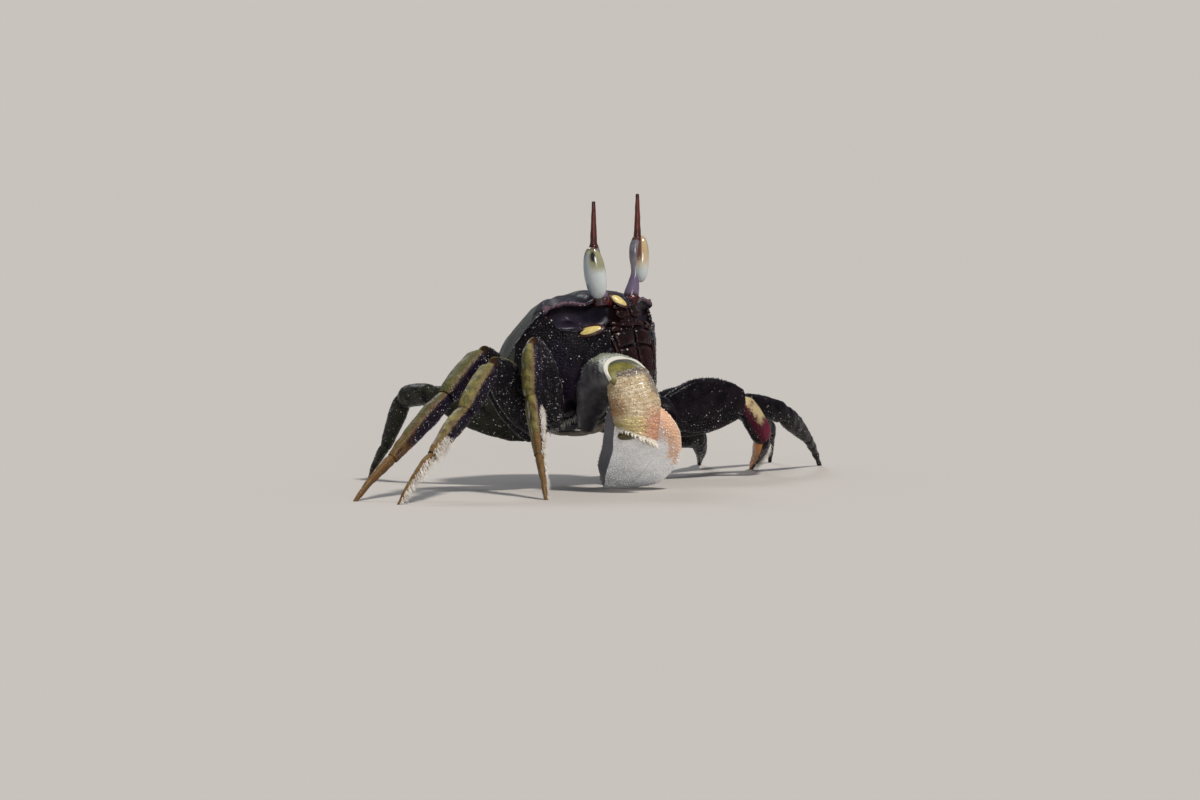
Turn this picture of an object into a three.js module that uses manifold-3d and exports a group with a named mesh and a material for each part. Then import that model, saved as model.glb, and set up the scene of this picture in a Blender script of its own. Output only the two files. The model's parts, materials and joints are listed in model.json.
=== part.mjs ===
// Horned ghost crab, life size, standing on its eight walking legs with the large claw
// resting in front of the mouth. Millimetres, +Z up, floor at z = 0, the crab faces -Y
// and its right side lies towards -X.
import * as THREE from "three";
import Module from "manifold-3d";

const wasm = await Module();
wasm.setup();

// ---------------------------------------------------------------- driving dimensions
const carapaceWidth = 46;
const trunkHeight = 29.6; // middle of the trunk above the floor
const trunkPitch = THREE.MathUtils.degToRad(37); // front end raised
const jointGap = 0.3; // clear space between neighbouring pieces
const coxaOverlap = 0.12; // share of a limb's first long piece that its short root piece runs into
const toeSink = 0.25; // how far the middle of a toe tip is drawn below the floor before the flat is cut

const w = carapaceWidth;
const deg = THREE.MathUtils.degToRad;
const vec = (x, y, z) => new THREE.Vector3(x, y, z);

// trunk frame: x to the crab's left, y to its rear, z to its back, in carapace widths
function fromTrunk(x, y, z) {
  const cos = Math.cos(trunkPitch);
  const sin = Math.sin(trunkPitch);
  return vec(x * w, (cos * y + sin * z) * w, (cos * z - sin * y) * w + trunkHeight);
}

// ---------------------------------------------------------------- materials
const finishes = {
  shell: { color: 0x3b372f, roughness: 0.45, metalness: 0 },
  mouth: { color: 0x3a1a17, roughness: 0.4, metalness: 0 },
  belly: { color: 0x57504a, roughness: 0.55, metalness: 0 },
  stalk: { color: 0x7d7486, roughness: 0.35, metalness: 0 },
  cornea: { color: 0xb9bdb6, roughness: 0.15, metalness: 0 },
  horn: { color: 0x4a1d12, roughness: 0.4, metalness: 0 },
  strawLeg: { color: 0x8a8350, roughness: 0.45, metalness: 0 },
  darkLeg: { color: 0x2a1c22, roughness: 0.35, metalness: 0 },
  clawArm: { color: 0x77756c, roughness: 0.5, metalness: 0 },
  clawWrist: { color: 0xb99a62, roughness: 0.5, metalness: 0 },
  clawHand: { color: 0xd9d6cf, roughness: 0.5, metalness: 0 },
};

const crab = new THREE.Group();
const figure = new THREE.Group();
crab.add(figure);

// ---------------------------------------------------------------- solids
// one closed solid from rings of equal length, each end closed by a fan to its middle;
// grow moves its whole skin outward along the normals
function solidFromRings(rings, grow = 0) {
  const count = rings[0].length;
  const points = rings.flat();
  const middle = (ring) =>
    ring.reduce((sum, point) => sum.add(point), vec(0, 0, 0)).multiplyScalar(1 / count);
  const first = points.push(middle(rings[0])) - 1;
  const last = points.push(middle(rings.at(-1))) - 1;
  const triangles = [];
  for (let row = 0; row < rings.length - 1; row++) {
    for (let k = 0; k < count; k++) {
      const a = row * count + k;
      const b = row * count + ((k + 1) % count);
      triangles.push(a, b, b + count, a, b + count, a + count);
    }
  }
  const lastRow = (rings.length - 1) * count;
  for (let k = 0; k < count; k++) {
    const next = (k + 1) % count;
    triangles.push(first, next, k);
    triangles.push(last, lastRow + k, lastRow + next);
  }
  let volume = 0;
  const cross = vec(0, 0, 0);
  for (let t = 0; t < triangles.length; t += 3) {
    cross.crossVectors(points[triangles[t + 1]], points[triangles[t + 2]]);
    volume += points[triangles[t]].dot(cross);
  }
  if (volume < 0) {
    triangles.reverse();
  }
  const geometry = new THREE.BufferGeometry().setFromPoints(points);
  geometry.setIndex(triangles);
  geometry.computeVertexNormals();
  const normal = vec(0, 0, 0);
  points.forEach((point, index) => {
    normal.fromBufferAttribute(geometry.attributes.normal, index);
    point.addScaledVector(normal, grow);
  });
  const mesh = new wasm.Mesh({
    numProp: 3,
    vertProperties: new Float32Array(points.flatMap((point) => point.toArray())),
    triVerts: new Uint32Array(triangles),
  });
  return new wasm.Manifold(mesh);
}

// a limb segment: oval sections along the line from start to end, the tall way towards up.
// Each station is [place along the line, full height, full width], the last two in
// carapace widths. bow lifts the middle of the line towards up; a curve given as line
// takes the straight line's place.
function segment({ start, end, up, stations, sides = 8, bow = 0, grow = 0, line = null }) {
  const along = end.clone().sub(start);
  const length = along.length();
  along.normalize();
  const side = along.clone().cross(up).normalize();
  const tall = side.clone().cross(along).normalize();
  const rings = stations.map(([place, height, width]) => {
    const arch = bow * Math.sin(Math.PI * place);
    const middle = line ? line.getPoint(place) : start.clone().addScaledVector(along, place * length);
    middle.addScaledVector(tall, arch * w);
    const ring = [];
    for (let k = 0; k < sides; k++) {
      const angle = (2 * Math.PI * (k + 0.5)) / sides;
      ring.push(
        middle
          .clone()
          .addScaledVector(tall, 0.5 * height * w * Math.cos(angle))
          .addScaledVector(side, 0.5 * width * w * Math.sin(angle)),
      );
    }
    return ring;
  });
  return solidFromRings(rings, grow);
}

function addPiece(name, solid, finish) {
  const mesh = solid.getMesh();
  const geometry = new THREE.BufferGeometry();
  geometry.setAttribute("position", new THREE.BufferAttribute(mesh.vertProperties, 3));
  geometry.setIndex(new THREE.BufferAttribute(mesh.triVerts, 1));
  const piece = new THREE.Mesh(geometry, new THREE.MeshStandardMaterial(finishes[finish]));
  piece.name = name;
  figure.add(piece);
}

// ---------------------------------------------------------------- trunk
// Three girdles run round the trunk from the middle of the front to the middle of the rear:
// front middle, eye, orbit, orbital corner, shoulder, flank, rear flank, rear corner, rear middle.
const margin = [
  [0, -0.46, 0.13],
  [0.1, -0.445, 0.2],
  [0.27, -0.385, 0.22],
  [0.46, -0.3, 0.25],
  [0.497, -0.14, 0.22],
  [0.49, 0.06, 0.18],
  [0.455, 0.265, 0.13],
  [0.34, 0.415, 0.08],
  [0, 0.46, 0.1],
];
const waist = [
  [0, -0.43, 0.02],
  [0.1, -0.425, 0.02],
  [0.24, -0.375, 0.015],
  [0.37, -0.27, 0.02],
  [0.445, -0.12, 0],
  [0.465, 0.06, -0.04],
  [0.42, 0.25, -0.07],
  [0.3, 0.37, -0.08],
  [0, 0.41, -0.05],
];
const keel = [
  [0, -0.3, -0.28],
  [0.07, -0.295, -0.28],
  [0.14, -0.26, -0.285],
  [0.23, -0.19, -0.29],
  [0.29, -0.09, -0.29],
  [0.31, 0.05, -0.28],
  [0.29, 0.18, -0.25],
  [0.2, 0.29, -0.2],
  [0, 0.33, -0.17],
];
const orbitalCorner = 3; // place of the sharp corner in each girdle
const rearMiddle = margin.length - 1;
const frontSteps = 8; // columns from the front middle to the orbital corner
const flankSteps = 12; // and on to the rear middle
const crown = { y: 0.03, z: 0.41, fall: 3.6 };
const keelDepth = 0.305;
const orbit = { from: 0.75, to: 3, depth: 0.1, inward: 0.3, endSharpness: 0.5, lipSharpness: 0.6 };

const girdleCurves = new Map(
  [margin, waist, keel].map((girdle) => {
    const points = girdle.map(([x, y, z]) => vec(x, y, z));
    const front = new THREE.CatmullRomCurve3(points.slice(0, orbitalCorner + 1));
    const flank = new THREE.CatmullRomCurve3(points.slice(orbitalCorner));
    return [girdle, { front, flank }];
  }),
);

// a point of a girdle, place 0 at the front middle and 8 at the rear middle
function onGirdle(girdle, place) {
  const { front, flank } = girdleCurves.get(girdle);
  if (place <= orbitalCorner) {
    return front.getPoint(place / orbitalCorner);
  }
  return flank.getPoint((place - orbitalCorner) / (rearMiddle - orbitalCorner));
}

// the wall of the trunk: level 0 at the margin, 1 at the waist, 2 at the keel
function onWall(place, level) {
  const top = onGirdle(margin, place).multiplyScalar(((level - 1) * (level - 2)) / 2);
  const mid = onGirdle(waist, place).multiplyScalar(level * (2 - level));
  const low = onGirdle(keel, place).multiplyScalar((level * (level - 1)) / 2);
  const point = top.add(mid).add(low);
  if (level < 1 && place > orbit.from && place < orbit.to) {
    const along = (place - orbit.from) / (orbit.to - orbit.from);
    const ends = Math.sin(Math.PI * along) ** orbit.endSharpness;
    const lips = Math.sin(Math.PI * level) ** orbit.lipSharpness;
    point.y += orbit.depth * ends * lips;
    point.x -= orbit.inward * orbit.depth * ends * lips;
  }
  return point;
}

// the back: spread 1 at the margin, 0 at the crown
function onBack(place, spread) {
  const edge = onGirdle(margin, place);
  const rise = 1 - spread ** crown.fall;
  return vec(edge.x * spread, crown.y + (edge.y - crown.y) * spread, edge.z + (crown.z - edge.z) * rise);
}

// the underside: spread 1 at the keel, 0 at its middle
function onBelly(place, spread) {
  const edge = onGirdle(keel, place);
  const drop = 1 - spread ** 2;
  return vec(edge.x * spread, edge.y * spread, edge.z + (-keelDepth - edge.z) * drop);
}

const backSpreads = [0.25, 0.5, 0.72, 0.9];
const wallLevels = [0, 0.1, 0.3, 0.6, 0.85, 1, 1.35, 1.7, 2];
const bellySpreads = [0.75, 0.4];

function trunkSolid(grow) {
  const places = [];
  for (let k = 0; k < frontSteps; k++) {
    places.push((k * orbitalCorner) / frontSteps);
  }
  for (let k = 0; k <= flankSteps; k++) {
    places.push(THREE.MathUtils.lerp(orbitalCorner, rearMiddle, k / flankSteps));
  }
  const leftSide = places.map((place) => [1, place]);
  const rightSide = places.slice(1, -1).map((place) => [-1, place]);
  const columns = [...leftSide, ...rightSide.reverse()];
  const ringOf = (place, sample) =>
    columns.map(([side, at]) => {
      const point = sample(at, place);
      return fromTrunk(side * point.x, point.y, point.z);
    });
  const rings = [
    ...backSpreads.map((spread) => ringOf(spread, onBack)),
    ...wallLevels.map((level) => ringOf(level, onWall)),
    ...bellySpreads.map((spread) => ringOf(spread, onBelly)),
  ];
  return solidFromRings(rings, grow);
}

const trunk = trunkSolid(0);
const trunkRoom = trunkSolid(jointGap);

// a plate lying on the wall: a grid of wall points raised by the gap and by the plate's swell,
// which is thin at the rim and full in the middle
function wallPlate({ side, places, levels, thickness, rim, columns, rows }) {
  const middle = fromTrunk(0, 0, 0);
  const raised = (place, level, lift) => {
    const point = onWall(place, level);
    const spot = fromTrunk(side * point.x, point.y, point.z);
    const outward = spot.clone().sub(middle).normalize();
    return spot.addScaledVector(outward, lift);
  };
  const rings = [];
  for (let row = 0; row <= rows; row++) {
    const level = THREE.MathUtils.lerp(levels[0], levels[1], row / rows);
    const fullness = rim + (1 - rim) * Math.sqrt(Math.sin((Math.PI * row) / rows));
    const outer = [];
    const inner = [];
    for (let column = 0; column <= columns; column++) {
      const bulge = rim + (1 - rim) * Math.sqrt(Math.sin((Math.PI * column) / columns));
      const place = THREE.MathUtils.lerp(places[0], places[1], column / columns);
      outer.push(raised(place, level, 2 * jointGap + thickness * bulge * fullness));
      inner.unshift(raised(place, level, 2 * jointGap));
    }
    rings.push([...outer, ...inner]);
  }
  return solidFromRings(rings);
}

addPiece("trunk", trunk, "shell");

// the pair of flat plates that close the mouth, a narrow slit between them
const mouthCover = {
  places: [0.12, 1.5],
  levels: [0.98, 1.96],
  thickness: 1.6,
  rim: 0.45,
  columns: 5,
  rows: 5,
};
for (const [side, label] of [[-1, "right"], [1, "left"]]) {
  const plate = wallPlate({ side, ...mouthCover }).subtract(trunkRoom);
  addPiece(`mouth_cover_${label}`, plate, "mouth");
}

// ---------------------------------------------------------------- tail plate
// the narrow tail folded under the rear: a tapering strip that follows the middle line
const tail = {
  halfWidths: [0.13, 0.12, 0.1, 0.085, 0.07, 0.055, 0.035],
  lift: 0.9,
  thickness: 1,
  roundness: 0.4,
};
const tailLine = [
  onWall(rearMiddle, 0.5),
  onWall(rearMiddle, 1),
  onWall(rearMiddle, 1.5),
  onWall(rearMiddle, 1.95),
  onBelly(rearMiddle, 0.72),
  onBelly(rearMiddle, 0.4),
  onBelly(rearMiddle, 0.1),
];

function tailSolid() {
  const middle = fromTrunk(0, 0, 0);
  const rings = tailLine.map((point, index) => {
    const half = tail.halfWidths[index];
    const outward = fromTrunk(0, point.y, point.z).sub(middle).normalize();
    const spotAt = (share, lift) => fromTrunk(share * half, point.y, point.z).addScaledVector(outward, lift);
    const topLift = (share) => tail.lift + tail.thickness * (1 - tail.roundness * share ** 2);
    const outer = [-1, -0.5, 0, 0.5, 1].map((share) => spotAt(share, topLift(share)));
    const inner = [1, 0, -1].map((share) => spotAt(share, tail.lift));
    return [...outer, ...inner];
  });
  return solidFromRings(rings);
}

addPiece("tail_plate", tailSolid().subtract(trunkRoom), "belly");

// ---------------------------------------------------------------- eyes
// Each eye: a stalk from the brow, the cornea bulging on its outer side, and a horn on top.
const eye = {
  apart: 0.15,
  brow: -0.45,
  browHeight: 0.185,
  stalkHeight: 14.6,
  stalkWidths: [0.1, 0.075, 0.062, 0.066, 0.06, 0.048],
  corneaHeight: 13.6,
  corneaWidth: 6,
  corneaDepth: 4.6,
  corneaOffset: 1.25,
  corneaPlace: 0.53, // share of the cornea below the top of the stalk
  hornLength: 11,
  hornWidths: [0.04, 0.036, 0.03, 0.024, 0.016],
  sides: 10,
};
const eyes = [
  { label: "right", side: -1, outward: 2.2, back: 0.8, rise: 0 },
  { label: "left", side: 1, outward: 1, back: 0.6, rise: 1.4 },
];

// round sections of the given widths at even places
const evenStations = (widths) => widths.map((width, k) => [k / (widths.length - 1), width, width]);

function ellipsoid(centre, axes, radii, rows = 8, sides = 10) {
  const rings = [];
  for (let row = 1; row < rows; row++) {
    const polar = (Math.PI * row) / rows;
    const ring = [];
    for (let k = 0; k < sides; k++) {
      const angle = (2 * Math.PI * k) / sides;
      ring.push(
        centre
          .clone()
          .addScaledVector(axes[0], radii[0] * Math.cos(polar))
          .addScaledVector(axes[1], radii[1] * Math.sin(polar) * Math.cos(angle))
          .addScaledVector(axes[2], radii[2] * Math.sin(polar) * Math.sin(angle)),
      );
    }
    rings.push(ring);
  }
  return solidFromRings(rings);
}

for (const { label, side, outward, back, rise } of eyes) {
  const root = fromTrunk(side * eye.apart, eye.brow, eye.browHeight);
  const top = root.clone().add(vec(side * outward, back, eye.stalkHeight + rise));
  const lengthwise = top.clone().sub(root).normalize();
  const outer = vec(side, -0.25, 0).normalize();
  const forward = lengthwise.clone().cross(outer).normalize();
  const stalkShape = {
    start: root,
    end: top,
    up: outer,
    sides: eye.sides,
    stations: evenStations(eye.stalkWidths),
  };
  const stalk = segment(stalkShape).subtract(trunkRoom);
  const centre = root
    .clone()
    .addScaledVector(lengthwise, eye.stalkHeight + rise - eye.corneaPlace * eye.corneaHeight)
    .addScaledVector(outer, eye.corneaOffset);
  const radii = [eye.corneaHeight / 2, eye.corneaDepth / 2, eye.corneaWidth / 2];
  const cornea = ellipsoid(centre, [lengthwise, outer, forward], radii);
  const hornRoot = top.clone().addScaledVector(lengthwise, jointGap);
  const hornShape = {
    start: hornRoot,
    end: hornRoot.clone().add(vec(0, 0, eye.hornLength)),
    up: outer,
    sides: eye.sides,
    stations: evenStations(eye.hornWidths),
  };
  const stalkRoom = segment({ ...stalkShape, grow: jointGap });
  const hornRoom = segment({ ...hornShape, grow: jointGap });
  addPiece(`eye_stalk_${label}`, stalk, "stalk");
  addPiece(`eye_cornea_${label}`, cornea.subtract(stalkRoom).subtract(hornRoom), "cornea");
  addPiece(`eye_horn_${label}`, segment(hornShape), "horn");
}

// everything below the floor is cut away
const slab = { half: 200, depth: 20 };
const slabCorners = [[-1, -1], [1, -1], [1, 1], [-1, 1]];
const floorSlab = solidFromRings(
  [-slab.depth, 0].map((z) => slabCorners.map(([x, y]) => vec(x * slab.half, y * slab.half, z))),
);

// ---------------------------------------------------------------- claws
// joints in millimetres on the standing crab; hand is the middle line of the palm and the
// closed fingers from the wrist to the tip, knuckle the root of the movable finger on it;
// across is the way from the fixed finger to the movable one, the broad way of the hand
const claws = [
  {
    label: "right",
    root: [-9.5, -13.5, 24],
    hip: [-15.3, -12.6, 17.1],
    elbow: [-18.4, -29.4, 31],
    cuff: [-17.2, -33.6, 14.8],
    hand: [[-16.1, -31.6, 21.8], [-11.4, -28.4, 16], [-7, -24.1, 9.8], [-4.3, -17.7, 3.7], [-4.1, -10.5, 0]],
    across: [0.637, -0.77, 0],
    scale: 1,
    armBow: 0.1,
    sides: 12,
    finishes: ["clawArm", "clawWrist", "clawHand", "clawHand"],
  },
  {
    label: "left",
    root: [9.5, -13, 25],
    hip: [13.5, -13.5, 20.5],
    elbow: [6.5, -20.5, 17.5],
    cuff: [4.2, -15.5, 12],
    hand: [[4.6, -17.2, 13.4], [4.2, -12.4, 11], [5, -7.4, 8.7], [6.4, -3.4, 7], [8.2, 0.4, 5.6]],
    across: [0.5, 0, 0.87],
    scale: 0.52,
    armBow: 0.03,
    sides: 8,
    finishes: ["darkLeg", "darkLeg", "clawHand", "clawHand"],
  },
];
const clawCoxaStations = [
  [0, 0.13, 0.13],
  [0.8, 0.13, 0.13],
  [1, 0.08, 0.08],
];
const armStations = [
  [0, 0.11, 0.12],
  [0.25, 0.2, 0.2],
  [0.5, 0.27, 0.245],
  [0.78, 0.28, 0.3],
  [0.94, 0.255, 0.33],
  [1, 0.225, 0.31],
];
const wristStations = [
  [0, 0.19, 0.13],
  [0.12, 0.25, 0.18],
  [0.45, 0.29, 0.205],
  [0.8, 0.275, 0.19],
  [1, 0.19, 0.13],
];
const handStations = [
  [0, 0.26, 0.12],
  [0.1, 0.35, 0.15],
  [0.25, 0.425, 0.175],
  [0.45, 0.46, 0.175],
  [0.62, 0.43, 0.15],
  [0.76, 0.345, 0.115],
  [0.9, 0.18, 0.075],
  [1, 0.05, 0.04],
];
// where the movable finger is parted from the hand, in carapace widths from the knuckle
const fingerRoot = { place: 0.46, across: 0.06, reach: 0.4 };

function buildClaw(claw) {
  const { label, scale, armBow, sides } = claw;
  const [root, hip, elbow, cuff] = ["root", "hip", "elbow", "cuff"].map((joint) => vec(...claw[joint]));
  const across = vec(...claw.across).normalize();
  const sized = (stations) =>
    stations.map(([place, height, width]) => [place, height * scale, width * scale]);
  const upward = vec(0, 0, 1);
  const line = new THREE.CatmullRomCurve3(claw.hand.map((point) => vec(...point)));
  const arm = { start: hip, end: elbow, up: upward, sides, bow: armBow, stations: sized(armStations) };
  const wristBox = { start: elbow, end: cuff, up: across, sides, stations: sized(wristStations) };
  const wrist = line.getPoint(0);
  const tip = line.getPoint(1);
  const handShape = {
    start: wrist,
    end: tip,
    line,
    up: across,
    sides: sides + 2,
    stations: sized(handStations),
  };

  // the movable finger is the part of the hand inside this four-sided block
  const knuckle = line.getPoint(fingerRoot.place).addScaledVector(across, fingerRoot.across * scale * w);
  const along = tip.clone().sub(wrist).normalize();
  const thin = along.clone().cross(across).normalize();
  const far = fingerRoot.reach * scale * w;
  const outline = [
    knuckle,
    knuckle.clone().addScaledVector(across, far),
    tip.clone().addScaledVector(across, far).addScaledVector(along, far),
    tip.clone().addScaledVector(along, far),
  ];
  const block = (grow) => {
    const face = (shift) => outline.map((point) => point.clone().addScaledVector(thin, shift));
    return solidFromRings([face(-far), face(far)], grow);
  };

  const coxaEnd = hip.clone().lerp(elbow, coxaOverlap);
  const coxa = segment({ start: root, end: coxaEnd, up: upward, stations: sized(clawCoxaStations) });
  const whole = segment(handShape).subtract(floorSlab);
  const free = whole.intersect(block(0));
  const hand = whole.subtract(block(2 * jointGap));
  const carpus = segment(wristBox).subtract(segment({ ...handShape, grow: jointGap }));
  const merus = segment(arm).add(coxa).subtract(segment({ ...wristBox, grow: jointGap })).subtract(trunkRoom);
  addPiece(`claw_${label}_merus`, merus, claw.finishes[0]);
  addPiece(`claw_${label}_carpus`, carpus, claw.finishes[1]);
  addPiece(`claw_${label}_palm`, hand, claw.finishes[2]);
  addPiece(`claw_${label}_dactyl`, free, claw.finishes[3]);
}

claws.forEach(buildClaw);

// ---------------------------------------------------------------- walking legs
// lengths and sections in carapace widths, shared by the two legs of a pair
const legPairs = [
  { hip: [0.45, 0.02, -0.3], lengths: [0.575, 0.29, 0.37, 0.31], blade: 0.315 },
  { hip: [0.46, 0.13, -0.28], lengths: [0.69, 0.345, 0.42, 0.38], blade: 0.3 },
  { hip: [0.44, 0.23, -0.25], lengths: [0.7, 0.345, 0.5, 0.375], blade: 0.275 },
  { hip: [0.38, 0.31, -0.2], lengths: [0.61, 0.27, 0.36, 0.31], blade: 0.215 },
];
const coxaInset = [0.2, 0.02, -0.08]; // from the hip back to the root under the trunk

// the stance: heading is the swing forward of straight sideways, rise the slope upward,
// in degrees, for the merus, carpus and propodus; the dactyl reaches the floor by itself
const stance = {
  right: [
    { heading: [16, 43, 52, 52], rise: [50, -72, -59] },
    { heading: [10, 5, 9, -3], rise: [33, -43, -32] },
    { heading: [6, -7, -13, -6], rise: [43, -41, -41] },
    { heading: [-71, -103, -108, -116], rise: [21, -6, -55] },
  ],
  left: [
    { heading: [17, 3, -45, -46], rise: [5, -50, -21] },
    { heading: [14, 5, -17, -25], rise: [7, -13, -23] },
    { heading: [-1, -6, -14, -41], rise: [9, -8, -18] },
    { heading: [-3, -7, -37, -41], rise: [-8, -3, -18] },
  ],
};

const legCoxaStations = [
  [0, 0.085, 0.1],
  [0.8, 0.08, 0.1],
  [1, 0.05, 0.07],
];
const carpusStations = [
  [0, 0.08, 0.07],
  [0.12, 0.12, 0.11],
  [0.5, 0.132, 0.12],
  [0.88, 0.13, 0.115],
  [1, 0.095, 0.085],
];
const propodusStations = [
  [0, 0.085, 0.07],
  [0.12, 0.115, 0.092],
  [0.4, 0.118, 0.09],
  [0.85, 0.088, 0.068],
  [1, 0.062, 0.05],
];
const dactylStations = [
  [0, 0.05, 0.04],
  [0.1, 0.064, 0.05],
  [0.45, 0.05, 0.042],
  [0.8, 0.034, 0.03],
  [1, 0.024, 0.024],
];
const merusStations = (blade) => [
  [0, 0.4 * blade, 0.075],
  [0.14, 0.72 * blade, 0.09],
  [0.42, blade, 0.1],
  [0.72, 0.94 * blade, 0.1],
  [0.92, 0.66 * blade, 0.09],
  [1, 0.42 * blade, 0.07],
];

// leg directions: away from the trunk by heading, up by rise
function reach(side, heading, rise) {
  const level = Math.cos(rise);
  return vec(side * Math.cos(heading) * level, -Math.sin(heading) * level, Math.sin(rise));
}

// pieces of one leg from the hip outwards; each is hollowed where the next one turns in it
function buildLeg(label, side, pair, pose, number) {
  const [hipX, hipY, hipZ] = pair.hip;
  const joints = [fromTrunk(side * hipX, hipY, hipZ)];
  for (let k = 0; k < 3; k++) {
    const step = reach(side, deg(pose.heading[k]), deg(pose.rise[k]));
    joints.push(joints[k].clone().addScaledVector(step, pair.lengths[k] * w));
  }
  const drop = -Math.asin((joints[3].z + toeSink) / (pair.lengths[3] * w));
  const toe = reach(side, deg(pose.heading[3]), drop);
  joints.push(joints[3].clone().addScaledVector(toe, pair.lengths[3] * w));

  const upward = vec(0, 0, 1);
  const shapes = [
    { stations: merusStations(pair.blade), sides: 8, bow: 0.01 },
    { stations: carpusStations, sides: 8, bow: 0.006 },
    { stations: propodusStations, sides: 8, bow: 0.004 },
    { stations: dactylStations, sides: 8, bow: 0.012 },
  ].map((shape, k) => ({ ...shape, start: joints[k], end: joints[k + 1], up: upward }));

  const solids = shapes.map((shape) => segment(shape));
  for (let k = 0; k < 3; k++) {
    solids[k] = solids[k].subtract(segment({ ...shapes[k + 1], grow: jointGap }));
  }
  const [insetX, insetY, insetZ] = coxaInset;
  const coxa = segment({
    start: fromTrunk(side * (hipX - insetX), hipY - insetY, hipZ - insetZ),
    end: joints[0].clone().lerp(joints[1], coxaOverlap),
    up: vec(0, 1, 0),
    stations: legCoxaStations,
  });
  solids[0] = solids[0].add(coxa).subtract(trunkRoom);
  solids[3] = solids[3].subtract(floorSlab);
  const finish = label === "right" && number < 4 ? "strawLeg" : "darkLeg";
  ["merus", "carpus", "propodus", "dactyl"].forEach((part, k) => {
    addPiece(`leg_${label}_${number}_${part}`, solids[k], finish);
  });
}

for (const [side, label] of [[-1, "right"], [1, "left"]]) {
  legPairs.forEach((pair, k) => buildLeg(label, side, pair, stance[label][k], k + 1));
}

// the origin is the middle of the footprint, on the floor
const extent = new THREE.Box3().setFromObject(figure);
const footprint = extent.getCenter(vec(0, 0, 0));
figure.position.set(-footprint.x, -footprint.y, -extent.min.z);
crab.updateMatrixWorld(true);

export default crab;
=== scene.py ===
import json
import math
import bpy
import numpy as np
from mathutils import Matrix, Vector

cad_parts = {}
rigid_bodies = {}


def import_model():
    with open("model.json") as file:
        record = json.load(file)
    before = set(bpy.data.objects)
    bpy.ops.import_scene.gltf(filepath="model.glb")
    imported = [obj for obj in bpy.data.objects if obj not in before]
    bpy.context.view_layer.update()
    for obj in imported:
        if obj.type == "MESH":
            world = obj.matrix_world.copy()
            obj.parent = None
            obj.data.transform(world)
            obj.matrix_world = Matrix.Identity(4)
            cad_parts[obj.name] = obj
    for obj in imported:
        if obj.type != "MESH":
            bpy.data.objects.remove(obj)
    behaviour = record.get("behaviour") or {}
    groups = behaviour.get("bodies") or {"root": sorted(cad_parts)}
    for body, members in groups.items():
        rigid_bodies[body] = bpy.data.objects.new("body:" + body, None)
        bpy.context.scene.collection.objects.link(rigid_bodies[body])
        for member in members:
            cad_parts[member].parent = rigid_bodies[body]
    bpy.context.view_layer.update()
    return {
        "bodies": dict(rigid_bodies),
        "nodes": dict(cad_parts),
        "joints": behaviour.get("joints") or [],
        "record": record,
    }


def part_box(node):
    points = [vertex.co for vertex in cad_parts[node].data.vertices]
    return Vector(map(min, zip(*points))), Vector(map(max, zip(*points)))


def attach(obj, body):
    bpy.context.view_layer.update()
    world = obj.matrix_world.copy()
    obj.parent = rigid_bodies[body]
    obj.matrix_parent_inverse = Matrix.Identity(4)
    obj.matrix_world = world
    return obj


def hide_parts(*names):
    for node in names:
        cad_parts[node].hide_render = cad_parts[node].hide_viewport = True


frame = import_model()

# sizes in millimetres on the standing crab, lengths of the body in carapace widths
body = {"width": 46.0, "height": 29.6, "pitch": 37.0}
w = body["width"]
cosPitch, sinPitch = math.cos(math.radians(body["pitch"])), math.sin(math.radians(body["pitch"]))

eye = {
    "apart": 0.15, "brow": -0.45, "browHeight": 0.185, "stalkHeight": 14.6,
    "stalkWidths": [0.1, 0.09, 0.078, 0.06, 0.05, 0.054, 0.064, 0.067, 0.062, 0.048],
    "stalkBend": [1.9, 1.5, 1.15, 0.8, 0.4, 0.45, 0.6, 0.62, 0.5, 0.1],
    "corneaHeight": 13.6, "corneaWidth": 6.0, "corneaDepth": 4.6, "corneaOffset": 1.25, "corneaPlace": 0.53,
    "hornLength": 11.0, "hornWidths": [0.042, 0.037, 0.031, 0.025, 0.019],
}
eyeSides = {"right": (-1, 2.2, 0.8, 0.0), "left": (1, 1.0, 0.6, 1.4)}
eyeFit = {
    "right": {"bend": 0.4, "lensUp": 0.0, "lensOut": 0.3, "lensSize": 1.0, "slide": -0.7, "inset": 0.8},
    "left": {"bend": 1.0, "lensUp": 1.5, "lensOut": -0.25, "lensSize": 0.9, "slide": 0.0, "inset": 0.0},
}


def vec(x, y, z):
    return np.array([x, y, z], float)


def unit(v):
    return v / np.linalg.norm(v)


def trunkPoint(x, y, z):
    return np.stack([x * w, (cosPitch * y + sinPitch * z) * w, (cosPitch * z - sinPitch * y) * w + body["height"]], -1)


def browRoot(side):
    return trunkPoint(*[np.float64(v) for v in (side * eye["apart"], eye["brow"], eye["browHeight"])])


# the model's origin is the middle of its footprint, found again from the upright right horn
hornLow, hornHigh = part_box("eye_horn_right")
hornMiddle = (np.array(hornLow) + np.array(hornHigh)) * 500
rightTop = browRoot(-1) + vec(-eyeSides["right"][1], eyeSides["right"][2], eye["stalkHeight"])
shift = np.array([*(hornMiddle - rightTop)[:2], 0.0])
print("crab stands", shift.round(2), "mm from its drawing origin")


def lineThrough(points, t):
    # smooth line through the points, t from 0 to the last point's number
    points = np.asarray(points, float)
    ends = np.vstack([2 * points[0] - points[1], points, 2 * points[-1] - points[-2]])
    t = np.clip(np.asarray(t, float), 0, len(points) - 1 - 1e-9)
    k = t.astype(int)
    f = (t - k)[..., None]
    a, b, c, d = ends[k], ends[k + 1], ends[k + 2], ends[k + 3]
    return 0.5 * (2 * b + (c - a) * f + (2 * a - 5 * b + 4 * c - d) * f**2 + (3 * b - 3 * c + d - a) * f**3)


def ramp(low, high, value):
    t = np.clip((value - low) / (high - low), 0, 1)
    return t * t * (3 - 2 * t)


def hump(middle, spread, value):
    return np.exp(-(((value - middle) / spread) ** 2))


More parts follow.
